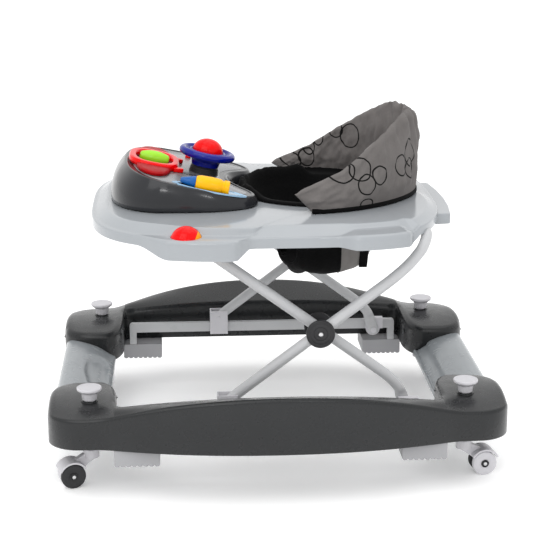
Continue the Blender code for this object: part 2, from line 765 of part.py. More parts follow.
def make_height_rack():
    """Toothed rack under the front of the tray, just above frame A's cross tube."""
    tips = FRAME_A_TOP[1] + TUBE_RADIUS + 0.0006
    root = tips + 0.009
    top = 0.4032
    teeth = 5
    start = -0.236
    pitch = 0.0285
    finish_x = start + teeth * pitch + 0.006
    outline = [(finish_x, top + 0.0030), (start, top), (start, tips)]
    for k in range(teeth):
        base = start + k * pitch
        outline += [(base + 0.006, tips), (base + 0.009, root), (base + pitch - 0.003, root),
                    (base + pitch, tips)]
    outline.append((finish_x, tips))
    item = add_object("height_rack", prism("height_rack", outline, -0.030, 0.030))
    finish(item, "charcoal_plastic", (TRAY_PIN[0], 0.0, TRAY_PIN[1]))


# --- toy console --------------------------------------------------------

def console_half_outline():
    """Right half of the console's base, from the front middle to the inner middle."""
    front = superellipse_quarter(-0.150, 0.1095, 0.155, 2.6, 9)
    arm = [(-0.105, 0.1545), (-0.070, 0.1475), (-0.042, 0.1340), (-0.027, 0.1140),
           (-0.025, 0.0930), (-0.032, 0.0740), (-0.045, 0.0560), (-0.056, 0.0360),
           (-0.061, 0.0160)]
    return front + arm


def superellipse_quarter(centre_x, half_x, half_y, power, steps):
    points = []
    for k in range(steps):
        x, y = superellipse(math.pi - 0.5 * math.pi * k / steps, half_x, half_y, power)
        points.append((centre_x + x, y))
    return points


def console_top(x):
    return CONSOLE_ORIGIN[2] + (CONSOLE_ORIGIN[0] - x) * math.tan(CONSOLE_SLOPE)


def console_ring(outline, height, share, extra=0.0):
    """The outline at this share of its height, moved inwards by a share of the wall's lean."""
    count = len(outline)
    ring = []
    for k, (x, y) in enumerate(outline):
        run = (Vector(outline[(k + 1) % count]) - Vector(outline[k - 1])).normalized()
        taper = CONSOLE_SIDE_TAPER + (CONSOLE_FRONT_TAPER - CONSOLE_SIDE_TAPER) * abs(run.y)
        distance = share * taper * (console_top(x) - CONSOLE_BASE) + extra
        moved_x = x + run.y * distance
        z = CONSOLE_BASE + height * (console_top(moved_x) - CONSOLE_BASE)
        ring.append((moved_x, y - run.x * distance, z))
    return ring


def make_console():
    """The shell's walls lean in with a full curve; its top has wells for both rollers and the button."""
    half = console_half_outline()
    outline = half + [(x, -y) for x, y in reversed(half[1:])]
    steps = ((0.0, 0.0), (0.40, 0.14), (0.70, 0.46), (0.90, 0.80, 0.0005), (1.0, 1.0, 0.0030))
    console = add_object("toy_console", loft("console", [console_ring(outline, *step) for step in steps]))
    rings = [console_ring(outline, -0.02, 0.0, 0.0035), console_ring(outline, 0.45, 0.17, 0.0035),
             console_ring(outline, 0.82, 0.95, 0.0050)]
    boolean(console, loft("hollow", rings), "DIFFERENCE")
    boolean(console, arm_well(), "DIFFERENCE")
    barrel_well = [superellipse(math.tau * k / 16, 0.0265, 0.0175, 4.0) for k in range(16)]
    boolean(console, plane_cutter(barrel_well, BARREL[0], BARREL[1]), "DIFFERENCE")
    button_well = [superellipse(math.tau * k / 12, 0.0053, 0.0053, 2.0) for k in range(12)]
    boolean(console, plane_cutter(button_well, *BUTTON), "DIFFERENCE")
    finish(console, "charcoal_plastic", (TRAY_PIN[0], 0.0, TRAY_PIN[1]))


def plane_cutter(outline, u, v):
    """A short prism square to the console's top face, centred at (u, v) on it."""
    mesh = prism("well", outline, -0.012, 0.012, "Z")
    turn = Matrix.Rotation(CONSOLE_SLOPE, 4, "Y")
    mesh.transform(Matrix.Translation(CONSOLE_ORIGIN) @ turn @ Matrix.Translation((u, v, 0.0)))
    return mesh


def arm_well():
    """A lens-shaped opening through the top of the left arm, under its roller."""
    half_length = 0.054
    half_width = 0.0180
    outline = []
    for k in range(16):
        angle = math.tau * k / 16
        narrow = abs(math.sin(angle)) ** 1.4
        across = math.copysign(half_width * narrow, math.sin(angle))
        outline.append((half_length * math.cos(angle), across - 0.05 * half_length * math.cos(angle)))
    return plane_cutter(outline, *ARM_WELL)


def make_toys():
    """Toys stand square to the console's sloping top face."""
    plane = add_empty("console_plane", CONSOLE_ORIGIN, tilt=CONSOLE_SLOPE)
    make_steering(plane)
    make_roller_cage(plane)
    make_arm_roller(plane)
    button = revolve("small_button", [(0.0, 0.0), (0.0048, 0.0), (0.0048, 0.0035), (0.0034, 0.0052),
                                      (0.0, 0.0058)], 12)
    item = add_object("small_button", button, plane)
    item.location = (*BUTTON, GAP)
    finish(item, "red_plastic")


def make_steering(plane):
    post = revolve("steering_post", [(0.0, GAP), (0.0243, GAP), (0.0235, 0.0105),
                                     (0.0210, 0.0120), (0.0, 0.0120)], 16)
    finish(add_object("steering_post", post, plane), "charcoal_plastic")
    rim = STEERING_RADIUS
    top = STEERING_HEIGHT
    profile = [(0.0, 0.0125), (0.0225, 0.0125), (0.0235, 0.0200), (0.0285, top - 0.0075),
               (rim - 0.0100, top - 0.0060), (rim - 0.0050, top - 0.0062), (rim, top - 0.0010),
               (rim - 0.0012, top + 0.0032), (rim - 0.0060, top + 0.0055), (rim - 0.0105, top + 0.0030),
               (0.0255, top + 0.0020), (0.0255, top - 0.0040), (0.0, top - 0.0040)]
    finish(add_object("steering_wheel", revolve("steering_wheel", profile, 24), plane), "blue_plastic")
    dome = [(0.0, 0.0)]
    dome += [(0.0245 * math.cos(a), 0.0040 + 0.0195 * math.sin(a))
             for a in (math.radians(20.0 * k) for k in range(5))]
    dome.insert(1, (0.0245, 0.0))
    dome.append((0.0, 0.0235))
    item = add_object("dome_button", revolve("dome_button", dome, 18), plane)
    item.location = (0.0, 0.0, top - 0.0005)
    finish(item, "red_plastic")


def make_roller_cage(plane):
    """A red ring with two ears holds a green barrel that spins."""
    outer = [superellipse(math.tau * k / 20, 0.0410, 0.0600, 2.8) for k in range(20)]
    inner = [superellipse(math.tau * k / 20, 0.0320, 0.0440, 2.6) for k in range(20)]
    rings = []
    for level, grow in ((0.0, 1.0), (0.0070, 1.0), (0.0105, 0.95)):
        rings.append([(x * grow, y * grow, level) for x, y in outer])
    for level, grow in ((0.0105, 1.06), (0.0070, 1.0), (0.0, 1.0)):
        rings.append([(x * grow, y * grow, level) for x, y in inner])
    cage = add_object("roller_cage", loft("roller_cage", rings, closed=True), plane)
    for sign in SIDES.values():
        boolean(cage, ear_mesh(sign), "UNION")
    cage.location = (BARREL[0], 0.0, GAP)
    finish(cage, "red_plastic")
    barrel = [(0.0, -0.0240), (0.0075, -0.0240), (0.0108, -0.0160), (0.0122, 0.0),
              (0.0108, 0.0160), (0.0075, 0.0240), (0.0, 0.0240)]
    item = add_object("green_roller", revolve("green_roller", barrel, 14, "X"), plane)
    item.location = BARREL
    finish(item, "green_plastic")


def ear_mesh(sign):
    """A low oval lobe that starts inside the ring's bar."""
    lobe = [(0.024 * math.cos(a), sign * (0.0520 + 0.0530 * math.sin(a)))
            for a in (math.pi * k / 9.0 for k in range(10))]
    return prism("ear", lobe, 0.0006, 0.0070, "Z")


def make_arm_roller(plane):
    """A yellow barrel and a blue cone turn on one shaft above the left arm."""
    barrel = [(0.0, -0.0265), (0.0095, -0.0265), (0.0125, -0.0200), (0.0130, 0.0), (0.0125, 0.0100),
              (0.0105, 0.0150), (0.0115, 0.0265), (0.0, 0.0265)]
    item = add_object("yellow_roller", revolve("yellow_roller", barrel, 14, "X"), plane)
    item.location = ARM_ROLLER
    finish(item, "yellow_plastic")
    cone = [(0.0, -0.0115), (0.0040, -0.0115), (0.0100, 0.0120), (0.0, 0.0120)]
    item = add_object("blue_cone", revolve("blue_cone", cone, 12, "X"), plane)
    item.location = (ARM_ROLLER[0] - 0.0390, ARM_ROLLER[1], ARM_ROLLER[2])
    finish(item, "blue_plastic")


# --- seat ---------------------------------------------------------------

def seat_ring(angle):
    """Section of the padded wall at this angle; the front ends lean forward at the top."""
    middle = Vector((*superellipse(angle, WALL_HALF_LENGTH, WALL_HALF_WIDTH, WALL_POWER), 0.0))
    ahead = Vector((*superellipse(angle + 0.03, WALL_HALF_LENGTH, WALL_HALF_WIDTH, WALL_POWER), 0.0))
    behind = Vector((*superellipse(angle - 0.03, WALL_HALF_LENGTH, WALL_HALF_WIDTH, WALL_POWER), 0.0))
    out = (ahead - behind).normalized().cross(Vector((0.0, 0.0, 1.0)))
    middle.x += WALL_CENTRE
    top = 0.441 + 0.69 * (middle.x - 0.0545) - 14.0 * max(0.0, middle.x - 0.200) ** 2
    half = WALL_THICKNESS / 2.0
    lean = 0.05 * (top - WALL_BOTTOM)
    slant = 0.028 * (1.0 - smoothstep(0.0, 22.0, WALL_REACH - abs(math.degrees(angle))))
    section = [(half, WALL_BOTTOM), (half - lean, top - 0.007), (-lean, top),
               (-half - lean, top - 0.007), (-half, WALL_BOTTOM)]
    ring = []
    for outward, z in section:
        point = middle + out * outward
        forward = slant * (z - WALL_BOTTOM) / (top - WALL_BOTTOM)
        ring.append((point.x - forward, point.y, z))
    return ring


def make_seat_wall():
    reach = math.radians(WALL_REACH)
    steps = 18
    rings = [seat_ring(-reach + 2.0 * reach * k / steps) for k in range(steps + 1)]
    item = add_object("seat_wall", loft("seat_wall", rings))
    finish(item, "grey_fabric", (TRAY_PIN[0], 0.0, TRAY_PIN[1]))


def sling_ring(centre_x, half_x, half_y, z, count=24):
    ring = []
    for k in range(count):
        x, y = superellipse(math.tau * k / count, half_x, half_y, 2.3)
        ring.append((centre_x + x, y, z))
    return ring


def make_seat_sling():
    """A deep open bag with two leg holes, hung inside the tray's opening."""
    levels = [(0.0850, 0.1195, 0.1145, 0.4100), (0.0860, 0.0960, 0.1010, 0.3600),
              (0.0880, 0.0800, 0.0920, 0.3150), (0.0920, 0.0620, 0.0720, 0.2900),
              (0.0940, 0.0350, 0.0420, SLING_BOTTOM)]
    lip_low = TRAY_INNER_TOP + GAP
    outer = [sling_ring(cx, a, b, z) for cx, a, b, z in reversed(levels)]
    lip = [sling_ring(0.0850, 0.1195, 0.1145, lip_low), sling_ring(0.0850, 0.1310, 0.1260, lip_low),
           sling_ring(0.0850, 0.1310, 0.1260, lip_low + 0.0015),
           sling_ring(0.0850, 0.1155, 0.1105, lip_low + 0.0015)]
    inner = [sling_ring(cx, a - SLING_THICKNESS, b - SLING_THICKNESS, z + SLING_THICKNESS)
             for cx, a, b, z in levels[1:]]
    sling = add_object("seat_sling", loft("seat_sling", outer + lip + inner))
    for sign in SIDES.values():
        leg = revolve("leg_hole", [(0.0, -0.10), (0.034, -0.10), (0.034, 0.070), (0.0, 0.070)], 14, "X")
        leg.transform(Matrix.Translation((0.0, sign * 0.047, 0.3350)))
        boolean(sling, leg, "DIFFERENCE")
    finish(sling, "black_fabric", (TRAY_PIN[0], 0.0, TRAY_PIN[1]))


def main():
    clear_scene()
    make_rails()
    make_crossbars()
    make_slide_bars()
    make_grip_pads()
    make_castors()
    make_frame_a()
    make_frame_b()
    make_sliders()
    make_rear_pivots()
    make_hubs()
    make_tray()
    make_balls()
    make_tray_hinges()
    make_height_rack()
    make_console()
    make_toys()
    make_seat_wall()
    make_seat_sling()


main()
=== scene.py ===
"""Looks of the baby walker: smooth shells, toys, fabric seat and studio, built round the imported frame.

Metres, +Z up. The walker faces -X, and the child's left is -Y, towards the camera.
"""
import math

import bmesh
import bpy
from mathutils import Matrix, Vector, noise
from mathutils.bvhtree import BVHTree
from mathutils.geometry import intersect_point_line


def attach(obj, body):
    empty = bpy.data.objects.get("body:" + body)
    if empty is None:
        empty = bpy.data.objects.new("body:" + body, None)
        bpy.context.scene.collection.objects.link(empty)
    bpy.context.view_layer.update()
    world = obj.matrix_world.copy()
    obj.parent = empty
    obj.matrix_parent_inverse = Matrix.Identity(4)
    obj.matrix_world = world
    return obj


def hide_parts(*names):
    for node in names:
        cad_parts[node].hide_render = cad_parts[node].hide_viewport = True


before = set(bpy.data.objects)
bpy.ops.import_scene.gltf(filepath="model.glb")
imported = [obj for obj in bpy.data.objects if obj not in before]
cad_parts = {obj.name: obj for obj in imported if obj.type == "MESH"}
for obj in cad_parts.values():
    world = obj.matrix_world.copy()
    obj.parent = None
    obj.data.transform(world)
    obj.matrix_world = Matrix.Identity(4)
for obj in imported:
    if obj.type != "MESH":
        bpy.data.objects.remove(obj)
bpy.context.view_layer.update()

# Base, as in the CAD.
HALF_LENGTH = 0.356
POD_OUTER = 0.3
RAIL_BOW = 0.0405
BOW_REACH = 0.27
BOW_POWER = 2.2
RAIL_INNER = 0.262
RAIL_BOTTOM = 0.08
POD_SIDE = 0.2525
POD_INNER = 0.126
POD_CORNER_X = 0.03
POD_CORNER_Y = 0.07
POD_FILLET = 0.018
EDGE_RADIUS = 0.009
POD_CREST = 0.128
POD_CROWN = 0.007
SHOULDER = 0.13
SHOULDER_RISE = 0.016
SHELL = 0.003
KNOB_X = 0.2925
KNOB_Y = 0.2328
WHEEL_RADIUS = 0.0195
WHEEL_OFFSET = 0.0103
TRAIL = 0.032
CASTOR_YAW = {"front_left": 196.8, "front_right": 171.0, "rear_left": 7.5, "rear_right": -12.0}
TUBE_RADIUS = 0.0085
FRAME_A_Y = 0.2095
FRAME_B_Y = 0.23
HUB = (0.064, 0.2386)
REAR_PIN = (0.2025, 0.1045)
SLIDER_PIN = (-0.08, 0.1295)
TRAY_PIN = (0.229, 0.388)
FRAME_A_TOP = (-0.1217, 0.375)

# Tray and console, as in the CAD.
TRAY_HALF_LENGTH = 0.29
TRAY_HALF_WIDTH = 0.272
TRAY_POWER = 3.3
TRAY_EDGE = 0.3985
TRAY_CREASE = 0.411
TRAY_INNER_TOP = 0.4125
SKIRT_BOTTOM = 0.383
OPENING_CENTRE = 0.085
OPENING_HALF_LENGTH = 0.125
OPENING_HALF_WIDTH = 0.12
BULGE_WIDTH = 0.0235
BALL = (-0.14, 0.258, 0.3915)
BALL_RADIUS = 0.0245
CONSOLE_BASE = 0.4135
CONSOLE_ORIGIN = (-0.1087, 0.0, 0.4443)
CONSOLE_SLOPE = math.radians(12.0)
CONSOLE_SIDE_TAPER = 0.2
CONSOLE_FRONT_TAPER = 0.38
STEERING_RADIUS = 0.0462
STEERING_HEIGHT = 0.0335
BARREL = (-0.083, 0.0, 0.008)
BUTTON = (-0.025, 0.0995)
ARM_ROLLER = (0.01, -0.13, 0.008)
ARM_WELL = (0.007, -0.127)
WELL_DEPTH = 0.012

# Seat, as in the CAD.
WALL_CENTRE = 0.056
WALL_HALF_LENGTH = 0.179
WALL_HALF_WIDTH = 0.168
WALL_POWER = 1.75
NEAR_REACH = 89.5
FAR_REACH = 99.0
WALL_BOTTOM = 0.4129

# Rings printed on the seat's fabric: along the wall, up the wall, and both radii, in metres.
OUTER_RINGS = ((-0.1862, 0.0633, 0.019, 0.0172), (-0.1522, 0.0504, 0.014, 0.0143),
               (-0.1784, 0.0395, 0.0145, 0.0156), (-0.2135, 0.062, 0.0165, 0.017),
               (-0.0984, 0.0585, 0.015, 0.0165), (-0.0668, 0.0734, 0.017, 0.0219),
               (-0.069, 0.0489, 0.0135, 0.016), (-0.1771, 0.0087, 0.0115, 0.0075))
INNER_RINGS = ((0.1601, 0.0675, 0.0205, 0.02), (0.1913, 0.0749, 0.014, 0.013),
               (0.2249, 0.0567, 0.0095, 0.01), (0.2434, 0.0248, 0.012, 0.0155),
               (0.2642, 0.0192, 0.011, 0.0135), (0.24, 0.041, 0.0085, 0.011))
INNER_PRINT = 1.0

FLOOR = 40.0  # half the floor's width
SIDES = {"left": -1.0, "right": 1.0}
ENDS = {"front": -1.0, "rear": 1.0}


# --- materials ----------------------------------------------------------

def new_material(name):
    made = bpy.data.materials.new(name)
    made.use_nodes = True
    return made, made.node_tree.nodes, made.node_tree.links


def add_noise(nodes, links, scale, detail=3.0):
    where = nodes.new("ShaderNodeTexCoord")
    texture = nodes.new("ShaderNodeTexNoise")
    texture.inputs["Scale"].default_value = scale
    texture.inputs["Detail"].default_value = detail
    links.new(where.outputs["Object"], texture.inputs["Vector"])
    return texture.outputs["Fac"]


def remap(nodes, links, source, low, high):
    """Spreads a noise value, which lies mostly between 0.3 and 0.7, over low to high."""
    node = nodes.new("ShaderNodeMapRange")
    node.inputs["From Min"].default_value = 0.3
    node.inputs["From Max"].default_value = 0.7
    node.inputs["To Min"].default_value = low
    node.inputs["To Max"].default_value = high
    links.new(source, node.inputs["Value"])
    return node.outputs["Result"]


def tint(nodes, links, colour, source, spread):
    """A colour that wanders a little lighter and darker with a noise value."""
    mix = nodes.new("ShaderNodeMix")
    mix.data_type = "RGBA"
    mix.inputs["A"].default_value = (*[c * (1.0 - spread) for c in colour], 1.0)
    mix.inputs["B"].default_value = (*[min(1.0, c * (1.0 + spread)) for c in colour], 1.0)
    links.new(remap(nodes, links, source, 0.0, 1.0), mix.inputs["Factor"])
    return mix.outputs["Result"]


def bump(nodes, links, shader, source, strength, distance):
    node = nodes.new("ShaderNodeBump")
    node.inputs["Strength"].default_value = strength
    node.inputs["Distance"].default_value = distance
    links.new(source, node.inputs["Height"])
    links.new(node.outputs["Normal"], shader.inputs["Normal"])


def hard_material(name, colour, roughness, metallic=0.0, coat=0.0, grain=0.25, spread=0.05, gloss=0.3):
    """Moulded plastic, paint or metal: faint flow marks in the colour, uneven gloss, fine grain."""
    made, nodes, links = new_material(name)
    shader = nodes["Principled BSDF"]
    shader.inputs["Metallic"].default_value = metallic
    shader.inputs["Coat Weight"].default_value = coat
    shader.inputs["Coat Roughness"].default_value = 0.08
    shader.inputs["Specular IOR Level"].default_value = gloss
    marks = add_noise(nodes, links, 14.0)
    links.new(tint(nodes, links, colour, marks, spread), shader.inputs["Base Color"])
    wear = add_noise(nodes, links, 60.0, 5.0)
    links.new(remap(nodes, links, wear, roughness * 0.85, roughness * 1.2), shader.inputs["Roughness"])
    bump(nodes, links, shader, add_noise(nodes, links, 900.0, 2.0), grain, 0.0001)
    return made


def weave(nodes, links, pitch):
    """Crossed threads, from two sine waves over the piece's own coordinates."""
    where = nodes.new("ShaderNodeTexCoord")
    heights = []
    for direction in ("X", "Z", "Y"):
        wave = nodes.new("ShaderNodeTexWave")
        wave.bands_direction = direction
        wave.inputs["Scale"].default_value = 1.0 / pitch / 6.283
        wave.inputs["Distortion"].default_value = 0.6
        links.new(where.outputs["Object"], wave.inputs["Vector"])
        heights.append(wave.outputs["Fac"])
    first = nodes.new("ShaderNodeMath")
    first.operation = "ADD"
    links.new(heights[0], first.inputs[0])
    links.new(heights[1], first.inputs[1])
    second = nodes.new("ShaderNodeMath")
    second.operation = "ADD"
    links.new(first.outputs[0], second.inputs[0])
    links.new(heights[2], second.inputs[1])
    return second.outputs[0]


def fabric_material(name, colour, sheen, spread=0.1):
    made, nodes, links = new_material(name)
    shader = nodes["Principled BSDF"]
    shader.inputs["Roughness"].default_value = 0.85
    shader.inputs["Sheen Weight"].default_value = sheen
    shader.inputs["Sheen Roughness"].default_value = 0.5
    shader.inputs["Specular IOR Level"].default_value = 0.08
    cloud = add_noise(nodes, links, 35.0, 4.0)
    links.new(tint(nodes, links, colour, cloud, spread), shader.inputs["Base Color"])
    bump(nodes, links, shader, weave(nodes, links, 0.0011), 0.35, 0.0003)
    return made


def ring_mask(nodes, links, uv, rings, width):
    """1 on the outline of each (u, v, radius u, radius v), all in metres on the fabric."""
    total = None
    for u, v, radius_u, radius_v in rings:
        shift = nodes.new("ShaderNodeVectorMath")
        shift.operation = "SUBTRACT"
        shift.inputs[1].default_value = (u, v, 0.0)
        links.new(uv, shift.inputs[0])
        scale = nodes.new("ShaderNodeVectorMath")
        scale.operation = "MULTIPLY"
        scale.inputs[1].default_value = (1.0 / radius_u, 1.0 / radius_v, 0.0)
        links.new(shift.outputs[0], scale.inputs[0])
        length = nodes.new("ShaderNodeVectorMath")
        length.operation = "LENGTH"
        links.new(scale.outputs[0], length.inputs[0])
        near = nodes.new("ShaderNodeMath")
        near.operation = "COMPARE"
        near.inputs[1].default_value = 1.0
        near.inputs[2].default_value = width / (radius_u + radius_v)
        links.new(length.outputs["Value"], near.inputs[0])
        if total is None:
            total = near.outputs[0]
            continue
        either = nodes.new("ShaderNodeMath")
        either.operation = "MAXIMUM"
        links.new(total, either.inputs[0])
        links.new(near.outputs[0], either.inputs[1])
        total = either.outputs[0]
    return total


def printed_fabric(name, colour, ink, rings):
    """Grey fabric printed with thin overlapping rings."""
    made = fabric_material(name, colour, 0.06, 0.08)
    nodes, links = made.node_tree.nodes, made.node_tree.links
    shader = nodes["Principled BSDF"]
    uv = nodes.new("ShaderNodeUVMap").outputs["UV"]
    mask = ring_mask(nodes, links, uv, rings, 0.0023)
    mix = nodes.new("ShaderNodeMix")
    mix.data_type = "RGBA"
    links.new(mask, mix.inputs["Factor"])
    links.new(shader.inputs["Base Color"].links[0].from_socket, mix.inputs["A"])
    mix.inputs["B"].default_value = (*ink, 1.0)
    links.new(mix.outputs["Result"], shader.inputs["Base Color"])
    return made


def all_rings():
    """Both sides' rings, with mirrored ones on the other half of the wall."""
    rings = []
    for u, v, radius_u, radius_v in OUTER_RINGS:
        rings += [(u, v, radius_u, radius_v), (-u, v, radius_u, radius_v)]
    for u, v, radius_u, radius_v in INNER_RINGS:
        rings += [(INNER_PRINT + u, v, radius_u, radius_v), (INNER_PRINT - u, v, radius_u, radius_v)]
    return rings


# Name, record slot, colour, roughness and the rest of each hard look.
HARD_LOOKS = (
    ("charcoal", "charcoal_plastic", (0.016, 0.017, 0.018), 0.28, dict(coat=0.05, grain=0.03)),
    ("console", "charcoal_plastic", (0.018, 0.019, 0.022), 0.18, dict(coat=0.12, grain=0.03)),
    ("cap", "charcoal_plastic", (0.024, 0.024, 0.026), 0.42, dict(grain=0.1)),
    ("crossbar", "grey_plastic", (0.27, 0.29, 0.305), 0.24, dict(coat=0.1, grain=0.05)),
    ("tray", "grey_plastic", (0.32, 0.338, 0.356), 0.16, dict(coat=0.25, grain=0.03, spread=0.02)),
    ("paint", "white_paint", (0.48, 0.485, 0.495), 0.3, dict(coat=0.1, grain=0.08, spread=0.03)),
    ("pale", "pale_plastic", (0.58, 0.572, 0.598), 0.42, dict(grain=0.08, spread=0.03)),
    ("rubber", "dark_rubber", (0.026, 0.026, 0.028), 0.5, dict(grain=0.3)),
    ("steel", "steel", (0.64, 0.64, 0.65), 0.3, dict(metallic=1.0, grain=0.08)),
    # pad: the pale plastic of the grip pads, painted darker as painted shade for the shade under the rails.
    ("pad", "pale_plastic", (0.33, 0.33, 0.342), 0.5, dict(grain=0.1, spread=0.03)),
    ("red", "red_plastic", (0.76, 0.001, 0.002), 0.14, dict(coat=0.22, grain=0.03, gloss=0.06)),
    ("orange", "red_plastic", (0.9, 0.3, 0.004), 0.18, dict(coat=0.06, grain=0.03, gloss=0.15)),
    ("dark_red", "red_plastic", (0.34, 0.001, 0.003), 0.4, dict(grain=0.05, gloss=0.08)),
    ("green", "green_plastic", (0.3, 0.68, 0.02), 0.2, dict(coat=0.06, grain=0.04)),
    ("blue", "blue_plastic", (0.001, 0.006, 0.22), 0.14, dict(coat=0.12, grain=0.03)),
    ("light_blue", "blue_plastic", (0.002, 0.09, 0.33), 0.2, dict(coat=0.06, grain=0.04)),
    ("yellow", "yellow_plastic", (0.9, 0.45, 0.001), 0.24, dict(coat=0.05, grain=0.05, gloss=0.2)),
    ("silver", "charcoal_plastic", (0.23, 0.235, 0.245), 0.24, dict(metallic=0.4, coat=0.1, grain=0.03)),
    ("lens", "charcoal_plastic", (0.3, 0.48, 0.66), 0.14, dict(metallic=0.2, coat=0.2, grain=0.03)),
)
LOOKS = {name: (hard_material(name, colour, roughness, **rest), slot)
         for name, slot, colour, roughness, rest in HARD_LOOKS}
LOOKS["black_fabric"] = (fabric_material("black_fabric", (0.003, 0.003, 0.0032), 0.02), "black_fabric")
LOOKS["grey_fabric"] = (fabric_material("grey_fabric", (0.19, 0.18, 0.172), 0.08), "grey_fabric")
LOOKS["printed"] = (printed_fabric("printed", (0.14, 0.13, 0.126), (0.006, 0.006, 0.006), all_rings()),
                    "grey_fabric")


# --- mesh tools ---------------------------------------------------------

def make_mesh(name, points, faces):
    mesh = bpy.data.meshes.new(name)
    mesh.from_pydata([tuple(point) for point in points], [], faces)
    build = bmesh.new()
    build.from_mesh(mesh)
    bmesh.ops.recalc_face_normals(build, faces=build.faces)
    if build.calc_volume(signed=True) < 0.0:
        bmesh.ops.reverse_faces(build, faces=build.faces)
    build.to_mesh(mesh)
    build.free()
    return mesh


def loft(name, rings, closed=False, caps=True, open_rings=False):
    """Skins rings of equal length; open rings are sheets, closed lofts are loops."""
    count = len(rings[0])
    points = [point for ring in rings for point in ring]
    faces = []
    for span in range(len(rings) if closed else len(rings) - 1):
        here = span * count
        there = ((span + 1) % len(rings)) * count
        for k in range(count - 1 if open_rings else count):
            after = (k + 1) % count
            faces.append((here + k, here + after, there + after, there + k))
    if caps and not closed and not open_rings:
        faces.append(tuple(reversed(range(count))))
        last = (len(rings) - 1) * count
        faces.append(tuple(range(last, last + count)))
    return make_mesh(name, points, faces)


def turned_point(across, along, height, axis):
    return {"X": (height, across, along), "Y": (across, height, along), "Z": (across, along, height)}[axis]


def revolve(name, profile, segments=48, axis="Z", closed=False):
    """Turns a profile of (radius, height) about an axis."""
    points = []
    rows = []
    for radius, height in profile:
        count = 1 if radius == 0.0 else segments
        rows.append([len(points) + k for k in range(count)])
        for k in range(count):
            angle = math.tau * k / segments
            points.append(turned_point(radius * math.cos(angle), radius * math.sin(angle), height, axis))
    pairs = list(zip(rows, rows[1:]))
    if closed:
        pairs.append((rows[-1], rows[0]))
    faces = []
    for low, high in pairs:
        for k in range(segments):
            corners = [low[k % len(low)], low[(k + 1) % len(low)],
                       high[(k + 1) % len(high)], high[k % len(high)]]
            faces.append(tuple(dict.fromkeys(corners)))
    return make_mesh(name, points, faces)


def rounded(profile, radius, steps=4):
    """Rounds the corners of an open outline of 2-D points, up to one radius or one for each corner."""
    radii = radius if isinstance(radius, (list, tuple)) else [radius] * (len(profile) - 2)
    result = [profile[0]]
    for before, here, after, limit in zip(profile, profile[1:], profile[2:], radii):
        before, here, after = Vector(before), Vector(here), Vector(after)
        reach = min(limit, 0.45 * (here - before).length, 0.45 * (after - here).length)
        start = here + (before - here).normalized() * reach
        end = here + (after - here).normalized() * reach
        for k in range(steps + 1):
            t = k / steps
            point = start.lerp(here, t).lerp(here.lerp(end, t), t)
            result.append((point.x, point.y))
    result.append(profile[-1])
    return result


def prism(name, outline, low, high, axis="Y"):
    return loft(name, [[turned_point(a, b, level, axis) for a, b in outline] for level in (low, high)])


def arc(centre, radius, start, end, steps):
    points = []
    for k in range(steps + 1):
        angle = math.radians(start + (end - start) * k / steps)
        points.append((centre[0] + radius * math.cos(angle), centre[1] + radius * math.sin(angle)))
    return points


def smoothstep(low, high, value):
    t = min(1.0, max(0.0, (value - low) / (high - low)))
    return t * t * (3.0 - 2.0 * t)


def mirrored(mesh, sign):
    if sign < 0.0:
        mesh.transform(Matrix.Scale(-1.0, 4, Vector((0.0, 1.0, 0.0))))
        mesh.flip_normals()
    return mesh


def placed(mesh, matrix):
    mesh.transform(matrix)
    return mesh


def piece(name, mesh, look, body, nodes=(), sharp=35.0, bevel=0.0, thickness=0.0):
    """Adds a visible piece that rides on a body and may stand for CAD nodes."""
    item = bpy.data.objects.new(name, mesh)
    bpy.context.scene.collection.objects.link(item)
    surface, slot = LOOKS[look]
    mesh.materials.clear()
    mesh.materials.append(surface)
    mesh.shade_smooth()
    mesh.set_sharp_from_angle(angle=math.radians(sharp))
    if thickness:
        solid = item.modifiers.new("shell", "SOLIDIFY")
        solid.thickness = thickness
        solid.offset = -1.0
    if bevel:
        edge = item.modifiers.new("edge", "BEVEL")
        edge.width = bevel
        edge.segments = 3
        edge.limit_method = "ANGLE"
        edge.angle_limit = math.radians(40.0)
        edge.harden_normals = True
    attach(item, body)
    if nodes:
        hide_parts(*nodes)
    return item


def keep_node(node, look, bevel=0.0008):
    """Keeps a CAD node, with eased edges and a real finish."""
    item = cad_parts[node]
    item.data.materials.clear()
    item.data.materials.append(LOOKS[look][0])
    weld = item.modifiers.new("weld", "WELD")
    weld.merge_threshold = 0.00002
    edge = item.modifiers.new("edge", "BEVEL")
    edge.width = bevel
    edge.segments = 2
    edge.limit_method = "ANGLE"
    edge.angle_limit = math.radians(35.0)
    edge.harden_normals = True


# --- base ---------------------------------------------------------------

def bow(x):
    reach = 1.0 - (abs(x) / BOW_REACH) ** BOW_POWER
    return (reach + math.sqrt(reach * reach + 0.01)) / 2.0


def corner(distance, radius):
    """How far a round corner falls away at this distance past its start."""
    if distance <= 0.0:
        return 0.0
    return radius - math.sqrt(max(0.0, radius * radius - distance * distance))


def rail_outer(x):
    return POD_OUTER + RAIL_BOW * bow(x) - corner(abs(x) - (HALF_LENGTH - 0.05), 0.05)


def rail_inner(x):
    a = abs(x)
    if a < POD_SIDE - POD_FILLET:
        return RAIL_INNER
    if a < POD_SIDE:
        across = a - (POD_SIDE - POD_FILLET)
        return RAIL_INNER - POD_FILLET + math.sqrt(max(0.0, POD_FILLET ** 2 - across ** 2))
    stretch = POD_CORNER_Y / POD_CORNER_X
    inner = stretch * corner(POD_SIDE + POD_CORNER_X - a, POD_CORNER_X)
    return POD_INNER + inner + corner(a - (HALF_LENGTH - 0.045), 0.045)


